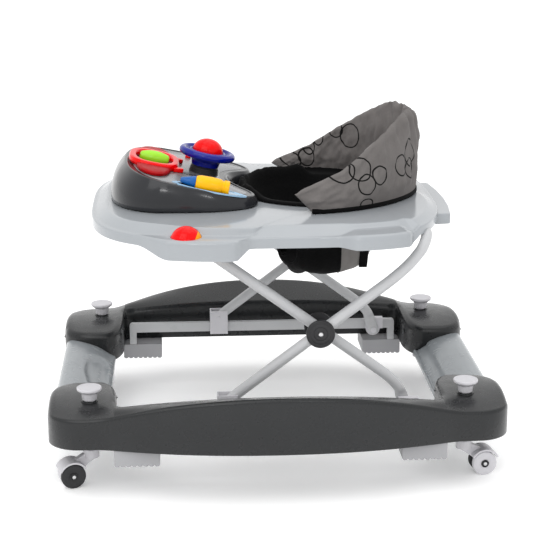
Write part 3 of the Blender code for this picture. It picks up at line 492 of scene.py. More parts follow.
def inner_boundary():
    """Points along the rail's inner edge in plan, for x from 0 to the end."""
    points = [Vector((0.0025 * k, rail_inner(0.0025 * k))) for k in range(-2, int(POD_SIDE / 0.0025) + 1)]
    points += [Vector((POD_SIDE, RAIL_INNER - POD_FILLET - 0.004 * k)) for k in range(13)]
    points += [Vector((x, rail_inner(x)))
               for x in (POD_SIDE + 0.0011 * k for k in range(1, 95)) if x < HALF_LENGTH]
    return points


INNER_BOUNDARY = inner_boundary()


def edge_drop(x, y):
    """How far the soft inner edge pulls the top down at this place."""
    place = Vector((abs(x), y))
    away = EDGE_RADIUS
    for start, end in zip(INNER_BOUNDARY, INNER_BOUNDARY[1:]):
        if min(abs(start.x - place.x), abs(end.x - place.x)) > 0.012:
            continue
        nearest, share = intersect_point_line(place, start, end)
        nearest = start if share < 0.0 else end if share > 1.0 else nearest
        away = min(away, (place - nearest).length)
    return corner(EDGE_RADIUS - away, EDGE_RADIUS)


def rail_ring(x):
    """Open cross-section, from the outer bottom edge over the top to the inner one."""
    outer, inner = rail_outer(x), rail_inner(x)
    end_drop = corner(abs(x) - (HALF_LENGTH - 0.008), 0.008)
    crest = POD_CREST + RAIL_BOW * bow(x) - end_drop
    shoulder = SHOULDER + SHOULDER_RISE * bow(x) - end_drop
    crown = POD_CROWN * (1.0 - bow(x))
    lip = 0.0012
    ring = [(outer - lip, RAIL_BOTTOM), (outer, RAIL_BOTTOM + lip)]
    ring += arc((outer - 0.006, crest - 0.006), 0.006, 0.0, 90.0, 6)
    steps = 24
    for k in range(1, steps + 1):
        t = 1.0 - (1.0 - k / steps) ** 1.8
        y = outer - 0.006 + (inner - outer + 0.006) * t
        z = crest + (shoulder - crest) * t + 4.0 * crown * t * (1.0 - t)
        ring.append((y, z - edge_drop(x, y)))
    ring += [(inner, RAIL_BOTTOM + lip), (inner + lip, RAIL_BOTTOM)]
    return [(x, y, z) for y, z in ring]


def rail_stations():
    half = {0.0}
    half.update(0.006 * k for k in range(1, 40))
    half.update(POD_SIDE - POD_FILLET + POD_FILLET * math.sin(math.pi * k / 20.0) for k in range(10))
    half.update((POD_SIDE - 0.0001, POD_SIDE + 0.0001, POD_SIDE + 0.0008, POD_SIDE + 0.0018,
                 POD_SIDE + 0.0035, POD_SIDE + 0.006))
    half.update(POD_SIDE + POD_CORNER_X * (1.0 - math.cos(math.pi * k / 32.0)) for k in range(1, 17))
    half.update(HALF_LENGTH - 0.05 + 0.05 * math.sin(math.pi * k / 32.0) for k in range(17))
    half.update(HALF_LENGTH - 0.008 + 0.008 * math.sin(math.pi * k / 12.0) for k in range(6))
    ordered = []
    for x in sorted(half):
        if not ordered or x - ordered[-1] > 0.00015:
            ordered.append(x)
    return [-x for x in reversed(ordered[1:])] + ordered


def make_rails():
    stations = rail_stations()
    for side, sign in SIDES.items():
        rings = [rail_ring(x) for x in stations]
        count = len(rings[0])
        mesh = loft("rail", rings, caps=False, open_rings=True)
        build = bmesh.new()
        build.from_mesh(mesh)
        build.verts.ensure_lookup_table()
        for first in (0, (len(rings) - 1) * count):
            build.faces.new([build.verts[first + k] for k in range(count)])
        bmesh.ops.recalc_face_normals(build, faces=build.faces)
        build.to_mesh(mesh)
        build.free()
        outward = sum((p.normal.z for p in mesh.polygons if p.center.z > 0.12), 0.0)
        if outward < 0.0:
            mesh.flip_normals()
        piece(side + "_rail_shell", mirrored(mesh, sign), "charcoal", "base", (side + "_rail",),
              sharp=50.0, thickness=SHELL)
        for end, end_sign in ENDS.items():
            collar = revolve("collar", [(0.0086, 0.13), (0.0125, 0.13), (0.0135, 0.1355), (0.013, 0.1366),
                                        (0.01, 0.137), (0.0086, 0.1362)], 40, closed=True)
            place = Matrix.Translation((end_sign * KNOB_X, sign * KNOB_Y, 0.0))
            piece(f"{end}_{side}_collar", placed(collar, place), "charcoal", "base")


def crossbar_profile():
    return rounded([(0.354, 0.0815), (0.354, 0.103), (0.3505, 0.112), (0.343, 0.117),
                    (0.331, 0.1185), (0.315, 0.1155), (0.294, 0.1075), (0.276, 0.0945),
                    (0.267, 0.087), (0.266, 0.0815)], 0.008, 5)


def make_crossbars():
    """The front bar has a shallow oval dent on its inner slope; the rear one has a step along it."""
    for end, end_sign in ENDS.items():
        rings = []
        steps = 60
        for k in range(steps + 1):
            y = -0.165 + 0.33 * k / steps
            ring = []
            for a, z in crossbar_profile():
                slope = smoothstep(0.272, 0.282, a) * (1.0 - smoothstep(0.318, 0.332, a))
                if end == "front":
                    inside = ((a - 0.288) / 0.026) ** 2 + (y / 0.085) ** 2
                    z -= 0.006 * slope * (1.0 - smoothstep(0.55, 1.0, inside))
                else:
                    z -= 0.0035 * (1.0 - smoothstep(0.288, 0.291, a)) * smoothstep(0.2695, 0.272, a)
                ring.append((end_sign * a, y, z))
            rings.append(ring)
        piece(end + "_crossbar_shell", loft("crossbar", rings), "crossbar", "base", (end + "_crossbar",),
              sharp=40.0)


# --- castors ------------------------------------------------------------

def castor_matrix(end_sign, sign, yaw):
    place = Matrix.Translation((end_sign * KNOB_X, sign * KNOB_Y, 0.0))
    return place @ Matrix.Rotation(math.radians(yaw), 4, "Z")


def knob_mesh():
    profile = [(0.0, 0.059), (0.008, 0.059), (0.008, 0.1382), (0.0112, 0.1382), (0.0124, 0.149),
               (0.0158, 0.1515), (0.0193, 0.1543), (0.0193, 0.1577), (0.018, 0.1585), (0.0172, 0.1578),
               (0.0, 0.1575)]
    return revolve("knob", rounded(profile, 0.0012, 3), 56)


def fork_meshes():
    web = arc((TRAIL, WHEEL_RADIUS), 0.019, -60.0, 75.0, 16)
    web += [(0.011, 0.052), (-0.011, 0.052), (-0.011, 0.046), (0.012, 0.03)]
    yield prism("web", web, -0.005, 0.005)
    outer = arc((TRAIL, WHEEL_RADIUS), 0.0242, 25.0, 150.0, 24)
    inner = arc((TRAIL, WHEEL_RADIUS), 0.0208, 150.0, 25.0, 24)
    yield prism("fender", outer + inner, -0.0165, 0.0165)
    yield revolve("head", [(0.0, 0.044), (0.0125, 0.044), (0.0125, 0.0585), (0.0, 0.0585)], 40)


def wheel_mesh():
    """Tyre disc with a shallow dish and a hub, in the wheel's own frame about Y."""
    half = 0.0045
    tyre = [(0.0034, -half + 0.0004), (0.0075, -half + 0.0004), (0.0082, -half),
            (WHEEL_RADIUS - 0.002, -half),
            (WHEEL_RADIUS - 0.0006, -half + 0.0006), (WHEEL_RADIUS, -half + 0.002),
            (WHEEL_RADIUS, half - 0.002),
            (WHEEL_RADIUS - 0.0006, half - 0.0006), (WHEEL_RADIUS - 0.002, half), (0.0082, half),
            (0.0075, half - 0.0004), (0.0034, half - 0.0004)]
    return revolve("tyre", tyre, 56, "Y", closed=True)


def make_castors():
    for end, end_sign in ENDS.items():
        for side, sign in SIDES.items():
            name = f"{end}_{side}"
            frame_matrix = castor_matrix(end_sign, sign, CASTOR_YAW[name])
            piece(name + "_knob_top", placed(knob_mesh(), frame_matrix), "pale", name + "_knob",
                  (name + "_lift_knob",), sharp=30.0)
            for k, mesh in enumerate(fork_meshes()):
                nodes = (name + "_fork",) if k == 0 else ()
                piece(f"{name}_fork_{k}", placed(mesh, frame_matrix), "pale", name + "_castor", nodes,
                      bevel=0.001)
            axle = Matrix.Translation((TRAIL, 0.0, WHEEL_RADIUS))
            for tone, offset, look in (("dark", WHEEL_OFFSET, "rubber"), ("light", -WHEEL_OFFSET, "pale")):
                turn = frame_matrix @ axle @ Matrix.Translation((0.0, offset, 0.0))
                piece(f"{name}_{tone}_tyre", placed(wheel_mesh(), turn), look, f"{name}_{tone}_roll",
                      (f"{name}_{tone}_wheel",), sharp=30.0)
                face = math.copysign(1.0, offset)
                disc = [(0.0034, 0.0), (0.0062, 0.0), (0.0062, 0.0052), (0.0052, 0.0056), (0.004, 0.0044),
                        (0.0034, 0.0044)]
                disc = [(radius, face * height) for radius, height in disc]
                piece(f"{name}_{tone}_hub", placed(revolve("hub", disc, 40, "Y", closed=True), turn),
                      "rubber",
                      f"{name}_{tone}_roll")
            rivet = [(0.0, -0.017), (0.0016, -0.0169), (0.0028, -0.0163), (0.0032, -0.015),
                     (0.003, -0.0148),
                     (0.003, 0.0148), (0.0032, 0.015), (0.0028, 0.0163), (0.0016, 0.0169), (0.0, 0.017)]
            piece(name + "_rivet", placed(revolve("rivet", rivet, 24, "Y"), frame_matrix @ axle), "steel",
                  name + "_castor", (name + "_axle",))


# --- X frame ------------------------------------------------------------

def tube_mesh(name, path, sides=28):
    rings = []
    reference = Vector((0.0, 1.0, 0.0))
    for k, (point, flat, wide) in enumerate(path):
        ahead = path[min(k + 1, len(path) - 1)][0] - point
        behind = point - path[max(k - 1, 0)][0]
        forward = (ahead.normalized() + behind.normalized()).normalized()
        reference = (reference - forward * reference.dot(forward)).normalized()
        normal = forward.cross(reference)
        ring = []
        for j in range(sides):
            angle = math.tau * j / sides
            ring.append(point + normal * (math.cos(angle) * TUBE_RADIUS * flat)
                        + reference * (math.sin(angle) * TUBE_RADIUS * wide))
        rings.append(ring)
    return loft(name, rings)


def smooth_path(stations, half_width, bend):
    """Full U path from one side's (x, z, flat, wide) stations."""
    side = [(Vector((x, -half_width, z)), flat, wide) for x, z, flat, wide in stations]
    last = side[-1][0]
    rise = (last - side[-2][0]).normalized()
    turn_steps = []
    for k in range(9):
        turn = 0.5 * math.pi * k / 8
        across = Vector((0.0, bend * (1.0 - math.cos(turn)), 0.0))
        point = last + rise * (bend * math.sin(turn) - bend) + across
        turn_steps.append((point, 1.0, 1.0))
    points = [step[0] for step in side[:-1]] + [turn_steps[0][0]]
    scales = [step[1:] for step in side[:-1]] + [(1.0, 1.0)]
    fine = []
    for k in range(len(points) - 1):
        for j in range(8):
            fine.append((catmull(points, k, j / 8.0), *[scales[k][i] + (scales[k + 1][i] - scales[k][i])
                                                        * smoothstep(0.0, 1.0, j / 8.0) for i in (0, 1)]))
    half = fine + turn_steps
    other = [(Vector((p.x, -p.y, p.z)), flat, wide) for p, flat, wide in reversed(half)]
    return half + other


def catmull(points, k, t):
    """Point at t along span k of a smooth curve through the points, with even tangents."""
    p1, p2 = points[k], points[k + 1]
    p0 = points[k - 1] if k > 0 else p1 * 2.0 - p2
    p3 = points[k + 2] if k + 2 < len(points) else p2 * 2.0 - p1
    length, before, after = (p2 - p1).length, (p1 - p0).length, (p3 - p2).length
    m1 = (p2 - p0) * (length / (before + length))
    m2 = (p3 - p1) * (length / (after + length))
    return (p1 * (2 * t ** 3 - 3 * t ** 2 + 1) + m1 * (t ** 3 - 2 * t ** 2 + t)
            + p2 * (3 * t ** 2 - 2 * t ** 3) + m2 * (t ** 3 - t ** 2))


def along(start, end, distance):
    direction = Vector((end[0] - start[0], end[1] - start[1])).normalized()
    return (start[0] + direction.x * distance, start[1] + direction.y * distance)


def make_frames():
    knee = (0.186, 0.152)
    end = along(REAR_PIN, knee, -0.0095)
    side = [(*end, 0.35, 0.48), (*along(REAR_PIN, knee, -0.0075), 0.9, 0.5), (*REAR_PIN, 1.15, 0.5),
            (*along(REAR_PIN, knee, 0.023), 1.15, 0.5), (*along(REAR_PIN, knee, 0.035), 1.0, 1.0),
            (0.18, 0.1513, 1.0, 1.0), (0.165, 0.1644, 1.0, 1.0), (*HUB, 1.0, 1.0), (*FRAME_A_TOP, 1.0, 1.0)]
    piece("frame_a_tube", tube_mesh("frame_a", smooth_path(side, FRAME_A_Y, 0.03)), "paint", "frame_a_body",
          ("frame_a",), sharp=60.0)
    side = [(*along(SLIDER_PIN, HUB, -0.0075), 0.4, 0.88), (*along(SLIDER_PIN, HUB, -0.005), 0.75, 0.95),
            (*SLIDER_PIN, 0.85, 1.0), (*along(SLIDER_PIN, HUB, 0.016), 1.0, 1.0), (*HUB, 1.0, 1.0),
            (0.148, 0.301, 1.0, 1.0), (0.178, 0.324, 1.0, 1.0), (0.201, 0.345, 1.0, 1.0),
            (0.218, 0.366, 1.0, 1.0), (*TRAY_PIN, 1.0, 1.0)]
    piece("frame_b_tube", tube_mesh("frame_b", smooth_path(side, FRAME_B_Y, 0.022)), "paint",
          "frame_b_body",
          ("frame_b",), sharp=60.0)


def make_hubs():
    profile = [(0.0034, 0.0), (0.0223, 0.0), (0.0223, 0.0034), (0.02, 0.0053), (0.019, 0.0047),
               (0.018, 0.0054), (0.0165, 0.0048), (0.015, 0.0056), (0.0115, 0.0058), (0.0106, 0.005),
               (0.0096, 0.0059), (0.0034, 0.006)]
    profile = rounded(profile + profile[:1], 0.0006, 3)[:-1]
    inner_face = FRAME_A_Y - TUBE_RADIUS - 0.0004
    outer_face = FRAME_B_Y + TUBE_RADIUS + 0.0004
    for side, sign in SIDES.items():
        for where, face, facing, body in (("outer", outer_face, sign, "frame_b_body"),
                                          ("inner", inner_face, -sign, "frame_a_body")):
            cap = mirrored(revolve("cap", profile, 64, "Y", closed=True), facing)
            place = Matrix.Translation((HUB[0], sign * face, HUB[1]))
            piece(f"{side}_{where}_cap", placed(cap, place), "cap", body, (f"{side}_{where}_hub_cap",),
                  sharp=30.0)
        low, high = inner_face - 0.0062, outer_face + 0.0062
        bolt = [(0.0, low - 0.0015), (0.002, low - 0.0014), (0.0033, low - 0.0008), (0.0038, low),
                (0.003, low),
                (0.003, high), (0.0038, high), (0.0033, high + 0.0008), (0.002, high + 0.0014),
                (0.0, high + 0.0015)]
        mesh = mirrored(revolve("bolt", bolt, 32, "Y"), sign)
        piece(side + "_bolt", placed(mesh, Matrix.Translation((HUB[0], 0.0, HUB[1]))), "steel",
              "frame_a_body",
              (side + "_hub_bolt",), sharp=30.0)


# --- tray ---------------------------------------------------------------

def superellipse(angle, half_x, half_y, power):
    c, s = math.cos(angle), math.sin(angle)
    return (math.copysign(abs(c) ** (2.0 / power), c) * half_x,
            math.copysign(abs(s) ** (2.0 / power), s) * half_y)


def bulge_shares(x, y):
    """How far the front and the rear bulge of a side stand out at this place, 0 to 1."""
    flank = smoothstep(0.15, 0.22, abs(y))
    front = smoothstep(-0.2155, -0.166, x) * (1.0 - smoothstep(-0.07, -0.045, x))
    rear = smoothstep(0.085, 0.118, x) * (1.0 - smoothstep(0.194, 0.208, x))
    return front * flank, rear * flank


def tray_ring(angle):
    """Closed section of the tray shell: skirt, ledge, slope up to the crease, flat middle, opening."""
    x, y = superellipse(angle, TRAY_HALF_LENGTH, TRAY_HALF_WIDTH, TRAY_POWER)
    front, rear = bulge_shares(x, y)
    bulge = max(front, rear)
    raised = smoothstep(0.205, 0.222, x)
    drawn_in = 0.024 * smoothstep(0.195, 0.285, x)
    bottom = SKIRT_BOTTOM - 0.0135 * front - 0.001 * rear + 0.008 * raised
    edge = TRAY_EDGE + 0.001 * front + 0.0055 * rear + 0.006 * raised
    outer = Vector((x - drawn_in, y + math.copysign(BULGE_WIDTH * bulge, y), 0.0))
    inner = Vector((OPENING_CENTRE + OPENING_HALF_LENGTH * math.cos(angle),
                    OPENING_HALF_WIDTH * math.sin(angle), 0.0))
    out = (outer - inner).normalized()
    width = (outer - inner).length
    ledge = 0.007 + 0.0375 * bulge
    crease = 0.0375 + 0.016 * bulge - 0.0135 * smoothstep(0.2, 0.27, -outer.x) - 0.012 * raised
    profile = [(0.0, bottom), (0.0, edge), (ledge, edge + 0.0008), (crease, TRAY_CREASE),
               (width - 0.001, TRAY_INNER_TOP), (width, 0.403)]
    round_edge = 0.003 + 0.0055 * front + 0.0085 * rear
    section = rounded(profile, [round_edge, 0.0045 + 0.004 * bulge, 0.0035, 0.0035], 6)
    section += [(width - SHELL, 0.403), (width - SHELL - 0.003, TRAY_INNER_TOP - SHELL),
                (crease + 0.003, TRAY_CREASE - SHELL), (ledge + 0.003, edge + 0.0008 - SHELL),
                (SHELL + 0.7 * round_edge, edge - SHELL), (SHELL, edge - round_edge - SHELL),
                (SHELL, bottom)]
    return [tuple((outer - out * inward).xy) + (z,) for inward, z in section]


def back_step_mesh():
    """The low block that stands out behind the tray, with a slightly bowed rear face."""
    outline = rounded([(0.228, 0.1), (0.24, 0.121), (0.262, 0.122), (0.2815, 0.119), (0.288, 0.06),
                       (0.29, 0.0)], 0.004, 4)
    outline += [(x, -y) for x, y in reversed(outline[:-1])]
    return prism("back_step", outline, 0.38, 0.3972, "Z")


def ball_mesh(radius, sign, segments=40):
    steps = 24
    profile = [(radius * math.sin(math.pi * k / steps), -radius * math.cos(math.pi * k / steps))
               for k in range(1, steps)]
    profile = [(0.0, -radius)] + profile + [(0.0, radius)]
    mesh = revolve("ball", profile, segments, "X")
    return placed(mesh, Matrix.Translation((BALL[0], sign * BALL[1], BALL[2])))


def cut(item, mesh):
    """Cuts a mesh from a piece with a Boolean and keeps the result."""
    tool = bpy.data.objects.new("cutter", mesh)
    bpy.context.scene.collection.objects.link(tool)
    change = item.modifiers.new("cut", "BOOLEAN")
    change.operation = "DIFFERENCE"
    change.object = tool
    bpy.context.view_layer.update()
    evaluated = item.evaluated_get(bpy.context.evaluated_depsgraph_get())
    result = bpy.data.meshes.new_from_object(evaluated)
    item.modifiers.clear()
    item.data = result
    bpy.data.objects.remove(tool, do_unlink=True)


def make_tray():
    stations = 360
    rings = [tray_ring(math.tau * k / stations) for k in range(stations)]
    tray = piece("tray_shell", loft("tray", rings, closed=True), "tray", "tray_body", ("tray",), sharp=50.0)
    for sign in SIDES.values():
        cut(tray, ball_mesh(BALL_RADIUS + 0.001, sign, 48))
    tray.data.set_sharp_from_angle(angle=math.radians(50.0))
    piece("tray_back_step", back_step_mesh(), "tray", "tray_body", bevel=0.0022)
    for side, sign in SIDES.items():
        make_ball(side, sign)


def make_ball(side, sign):
    """A red ball with an orange cap on its rear side."""
    split = Vector((0.89, 0.0, -0.45))
    centre = Vector((BALL[0], sign * BALL[1], BALL[2]))
    ball = ball_mesh(BALL_RADIUS, sign)
    build = bmesh.new()
    build.from_mesh(ball)
    every = build.verts[:] + build.edges[:] + build.faces[:]
    bmesh.ops.bisect_plane(build, geom=every, plane_co=centre + split * 0.008, plane_no=split)
    build.to_mesh(ball)
    build.free()
    item = piece(side + "_ball_red", ball, "red", side + "_ball", (side + "_tray_ball",))
    ball.materials.append(LOOKS["orange"][0])
    for face in ball.polygons:
        if (face.center - centre).dot(split) > 0.008:
            face.material_index = 1
    item.data.update()


# --- toy console --------------------------------------------------------

def console_top(x):
    return CONSOLE_ORIGIN[2] + (CONSOLE_ORIGIN[0] - x) * math.tan(CONSOLE_SLOPE)


def console_outline():
    """Smooth closed outline of the console's base, traced as the CAD has it."""
    half = []
    for k in range(9):
        x, y = superellipse(math.pi - 0.5 * math.pi * k / 9, 0.1095, 0.155, 2.6)
        half.append((-0.15 + x, y))
    half += [(-0.105, 0.1545), (-0.07, 0.1475), (-0.042, 0.134), (-0.027, 0.114),
             (-0.025, 0.093), (-0.032, 0.074), (-0.045, 0.056), (-0.056, 0.036), (-0.061, 0.016)]
    outline = [Vector((x, y, 0.0)) for x, y in half] + [Vector((x, -y, 0.0)) for x, y in reversed(half[1:])]
    count = len(outline)
    padded = [outline[k % count] for k in range(-1, count + 2)]
    fine = []
    for k in range(1, count + 1):
        for j in range(6):
            point = catmull(padded, k, j / 6.0)
            fine.append((point.x, point.y))
    return fine


def console_ring(outline, height, share, extra=0.0, rise=0.0):
    """The outline at this share of its height, moved inwards by a share of the wall's lean."""
    count = len(outline)
    ring = []
    for k, (x, y) in enumerate(outline):
        run = (Vector(outline[(k + 1) % count]) - Vector(outline[k - 1])).normalized()
        taper = CONSOLE_SIDE_TAPER + (CONSOLE_FRONT_TAPER - CONSOLE_SIDE_TAPER) * abs(run.y)
        distance = share * taper * (console_top(x) - CONSOLE_BASE) + extra
        moved_x = x + run.y * distance
        z = CONSOLE_BASE + height * (console_top(moved_x) - CONSOLE_BASE) + rise
        ring.append((moved_x, y - run.x * distance, z))
    return ring


def plane_cutter(outline, u, v):
    """A short post through the console's top plane, to cut a well."""
    mesh = prism("well", outline, -WELL_DEPTH, WELL_DEPTH, "Z")
    return placed(mesh, console_matrix() @ Matrix.Translation((u, v, 0.0)))


def oval(half_u, half_v, power, count=64):
    return [superellipse(math.tau * k / count, half_u, half_v, power) for k in range(count)]


def make_console():
    """The shell's walls lean in with a full curve up to a low raised rim round the silver top plate."""
    outline = console_outline()
    steps = [(0.0, 0.0, 0.0008), (0.03, 0.0, 0.0)]
    steps += [(k / 16.0, (k / 16.0) ** 2.2) for k in range(2, 16)]
    steps += [(0.97, 0.935, 0.0002, 0.0004), (0.99, 0.97, 0.001, 0.001), (1.0, 1.0, 0.0022, 0.0012),
              (1.0, 1.0, 0.004, 0.0012), (1.0, 1.0, 0.0052, 0.0007), (1.0, 1.0, 0.0058, 0.0)]
    rings = [console_ring(outline, *step) for step in steps]
    console = piece("console_shell", loft("console", rings), "console", "tray_body", ("toy_console",),
                    sharp=40.0)
    plate = [console_ring(outline, 1.0, 1.0, 0.013, -0.001), console_ring(outline, 1.0, 1.0, 0.013, 0.0003),
             console_ring(outline, 1.0, 1.0, 0.0136, 0.0006)]
    cover = piece("console_plate", loft("plate", plate), "silver", "tray_body", sharp=40.0)
    for item in (console, cover):
        cut(item, plane_cutter(oval(0.0265, 0.0175, 4.0), BARREL[0], BARREL[1]))
        cut(item, plane_cutter(oval(0.04, 0.015, 4.0), ARM_ROLLER[0] - 0.013, ARM_ROLLER[1]))
        cut(item, plane_cutter(oval(0.0052, 0.0052, 2.0), BUTTON[0], BUTTON[1]))
        item.data.set_sharp_from_angle(angle=math.radians(40.0))
    make_ticks()


def make_ticks():
    """A short row of plain dark marks on the plate, between the cage and the steering wheel."""
    for k in range(6):
        mark = rounded([(-0.0012, -0.0036), (0.0012, -0.0036), (0.0012, 0.0036), (-0.0012, 0.0036)], 0.0005)
        place = console_matrix() @ Matrix.Translation((-0.036 + 0.0042 * k, -0.042, 0.0))
        piece(f"plate_mark_{k}", placed(prism("mark", mark, 0.0004, 0.0014, "Z"), place), "cap",
              "tray_body")


def console_matrix():
    return Matrix.Translation(CONSOLE_ORIGIN) @ Matrix.Rotation(CONSOLE_SLOPE, 4, "Y")


def make_toys():
    plane = console_matrix()
    make_steering(plane)
    make_cage(plane)
    make_arm_roller(plane)
    button = rounded([(0.0, 0.0003), (0.0048, 0.0003), (0.0048, 0.004), (0.003, 0.006), (0.0, 0.0062)],
                     0.0012)
    place = plane @ Matrix.Translation((*BUTTON, 0.0))
    piece("small_button_cap", placed(revolve("button", button, 32), place), "red", "small_button_body",
          ("small_button",))


def make_steering(plane):
    collar = [(0.0, 0.0003), (0.0243, 0.0003)]
    for k in range(4):
        z = 0.0016 + 0.0026 * k
        collar += [(0.024 - 0.0004 * k, z), (0.0231 - 0.0004 * k, z + 0.0006),
                   (0.0238 - 0.0004 * k, z + 0.0012)]
    collar += [(0.021, 0.012), (0.0, 0.012)]
    piece("steering_collar", placed(revolve("collar", collar, 64), plane), "cap", "tray_body",
          ("steering_post",), sharp=25.0)
    rim, top = STEERING_RADIUS, STEERING_HEIGHT
    profile = [(0.0, 0.0125), (0.0222, 0.0125), (0.0235, 0.02), (0.028, top - 0.0078),
               (0.0335, top - 0.0072),
               (rim - 0.0108, top - 0.006)]
    profile += arc((rim - 0.0064, top - 0.0005), 0.0064, -125.0, 120.0, 18)
    profile += [(rim - 0.0122, top + 0.0016), (0.0315, top + 0.0012), (0.0295, top + 0.004),
                (0.0272, top + 0.0044),
                (0.026, top + 0.0025), (0.0255, top - 0.004), (0.0, top - 0.004)]
    piece("steering_ring", placed(revolve("steering", rounded(profile, 0.001, 3), 96), plane), "blue",
          "steering_body", ("steering_wheel",), sharp=35.0)
    dome = [(0.0, top - 0.0005), (0.0248, top - 0.0005), (0.0248, top + 0.0035)]
    dome += [(0.0248 * math.cos(a), top + 0.004 + 0.0195 * math.sin(a) ** 1.05)
             for a in (math.radians(6.0 * k) for k in range(1, 15))]
    dome.append((0.0, top + 0.0235))
    piece("dome_cap", placed(revolve("dome", dome, 72), plane), "red", "dome_body", ("dome_button",),
          sharp=30.0)


def make_cage(plane):
    place = plane @ Matrix.Translation((BARREL[0], 0.0, 0.0003))
    count = 120
    rings = []
    section = arc((0.0, 0.0), 1.0, 0.0, 360.0, 20)[:-1]
    for c, s in section:
        rings.append([])
        for k in range(count):
            angle = math.tau * k / count
            ox, oy = superellipse(angle, 0.0415, 0.06, 2.7)
            ix, iy = superellipse(angle, 0.0295, 0.043, 2.7)
            t = 0.5 + 0.5 * math.copysign(abs(c) ** 0.7, c)
            lift = 0.0056 + 0.0056 * max(-1.0, min(1.0, 1.15 * s))
            rings[-1].append((ix + (ox - ix) * t, iy + (oy - iy) * t, lift))
    piece("cage_ring", placed(loft("cage", rings, closed=True), place), "red", "tray_body",
          ("roller_cage",))
    for name, sign in SIDES.items():
        lobe = [(0.0275 * math.cos(a), sign * (0.052 + 0.056 * math.sin(a)))
                for a in (math.pi * k / 40.0 for k in range(41))]
        levels = [(0.97, 0.0006), (1.0, 0.0016), (1.0, 0.0048), (0.95, 0.0066), (0.85, 0.0074),
                  (0.6, 0.008)]
        mesh = loft("ear", [[(x * grow, sign * 0.052 + (y - sign * 0.052) * grow, z) for x, y in lobe]
                            for grow, z in levels])
        piece(f"cage_ear_{name}", placed(mesh, place), "dark_red", "tray_body", sharp=40.0)
        foot = [(0.03, sign * 0.03), (0.048, sign * 0.034), (0.049, sign * 0.042), (0.033, sign * 0.05)]
        foot = rounded(foot + foot[:1], 0.003, 4)[:-1]
        piece(f"cage_foot_{name}", placed(prism("foot", foot, 0.0006, 0.0072, "Z"), place), "red",
              "tray_body",
              bevel=0.0015)
    barrel = [(0.0, -0.024), (0.005, -0.024), (0.0076, -0.0226)]
    barrel += [(0.0122 - 0.004 * (x / 0.0215) ** 2, x) for x in (0.00215 * k for k in range(-10, 11))]
    barrel += [(0.0076, 0.0226), (0.005, 0.024), (0.0, 0.024)]
    turn = plane @ Matrix.Translation(BARREL)
    piece("green_barrel", placed(revolve("barrel", barrel, 64, "X"), turn), "green", "green_roll",
          ("green_roller",), sharp=30.0)


def make_arm_roller(plane):
    turn = plane @ Matrix.Translation(ARM_ROLLER)
    barrel = [(0.0, -0.0265), (0.0095, -0.0265), (0.0112, -0.0245), (0.0126, -0.019), (0.013, -0.006),
              (0.0128, 0.006), (0.012, 0.013), (0.0104, 0.0155), (0.0104, 0.0175), (0.0118, 0.019),
              (0.0118, 0.0255), (0.0108, 0.0265), (0.0, 0.0265)]
    piece("yellow_barrel", placed(revolve("yellow", barrel, 56, "X"), turn), "yellow", "arm_roll",
          ("yellow_roller",), sharp=30.0)
    cone = [(0.0, -0.0115), (0.0028, -0.0115), (0.004, -0.0105), (0.01, 0.011), (0.0098, 0.012),
            (0.0, 0.012)]
    place = turn @ Matrix.Translation((-0.039, 0.0, 0.0))
    piece("blue_end", placed(revolve("cone", cone, 48, "X"), place), "light_blue", "arm_roll",
          ("blue_cone",), sharp=30.0)
    lens = []
    hole = []
    for k in range(96):
        angle = math.tau * k / 96
        across = math.copysign(abs(math.sin(angle)) ** 1.4, math.sin(angle))
        lens.append((0.058 * math.cos(angle), 0.0195 * across - 0.0027 * math.cos(angle)))
        near = superellipse(angle, 0.04, 0.015, 4.0)
        hole.append((near[0] - 0.01, near[1] - 0.003))
    rings = [[(x * grow, y * grow, z) for x, y in lens]
             for grow, z in ((1.03, -0.0005), (1.03, 0.0016), (1.01, 0.002), (0.97, 0.0018), (0.95, 0.001))]
    rings += [[(x * 1.02, y * 1.02, z) for x, y in hole] for z in (0.0009, -0.0005)]
    place = plane @ Matrix.Translation((*ARM_WELL, 0.0))
    piece("arm_lens", placed(loft("lens", rings, closed=True), place), "lens", "tray_body", sharp=40.0)


# --- seat ---------------------------------------------------------------

def wall_top(x):
    return 0.441 + 0.69 * (x - 0.0545) - 14.0 * max(0.0, x - 0.2) ** 2


def wall_plan(angle):
    x, y = superellipse(angle, WALL_HALF_LENGTH, WALL_HALF_WIDTH, WALL_POWER)
    return Vector((WALL_CENTRE + x, y, 0.0))


def wall_point(angle, height, outward):
    """Point on the seat wall: height 0 to 1 up the wall, outward from its middle surface."""
    middle = wall_plan(angle)
    out = (wall_plan(angle + 0.03) - wall_plan(angle - 0.03)).normalized().cross(Vector((0.0, 0.0, 1.0)))
    z = WALL_BOTTOM + (wall_top(middle.x) - WALL_BOTTOM) * height
    left = (FAR_REACH if angle > 0.0 else NEAR_REACH) - abs(math.degrees(angle))
    slant = (0.022 if angle > 0.0 else 0.028) * (1.0 - smoothstep(0.0, 22.0, left))
    point = middle + out * (outward - 0.05 * (z - WALL_BOTTOM))
    point.x -= slant * height
    point.z = z
    return point


def wall_puff(angle, height, inner):
    """Outward wander of the cloth: broad puffs, upright creases, and gathers near the back's top."""
    away = 5.0 if inner else 0.0
    broad = noise.noise(Vector((2.6 * angle + away, 2.2 * height, away)))
    creases = noise.noise(Vector((9.0 * angle + away, 2.0 * height + 3.0 * angle, 2.0 + away)))
    fine = noise.noise(Vector((22.0 * angle, 7.0 * height, 4.0 + away)))
    top = smoothstep(0.45, 0.95, height) * math.exp(-(angle / 0.75) ** 2)
    gather = math.sin(31.0 * angle + 4.0 * height + 3.0 * broad) * top
    return 0.0048 * broad + 0.005 * creases + 0.0026 * fine + (0.006 if inner else 0.004) * gather


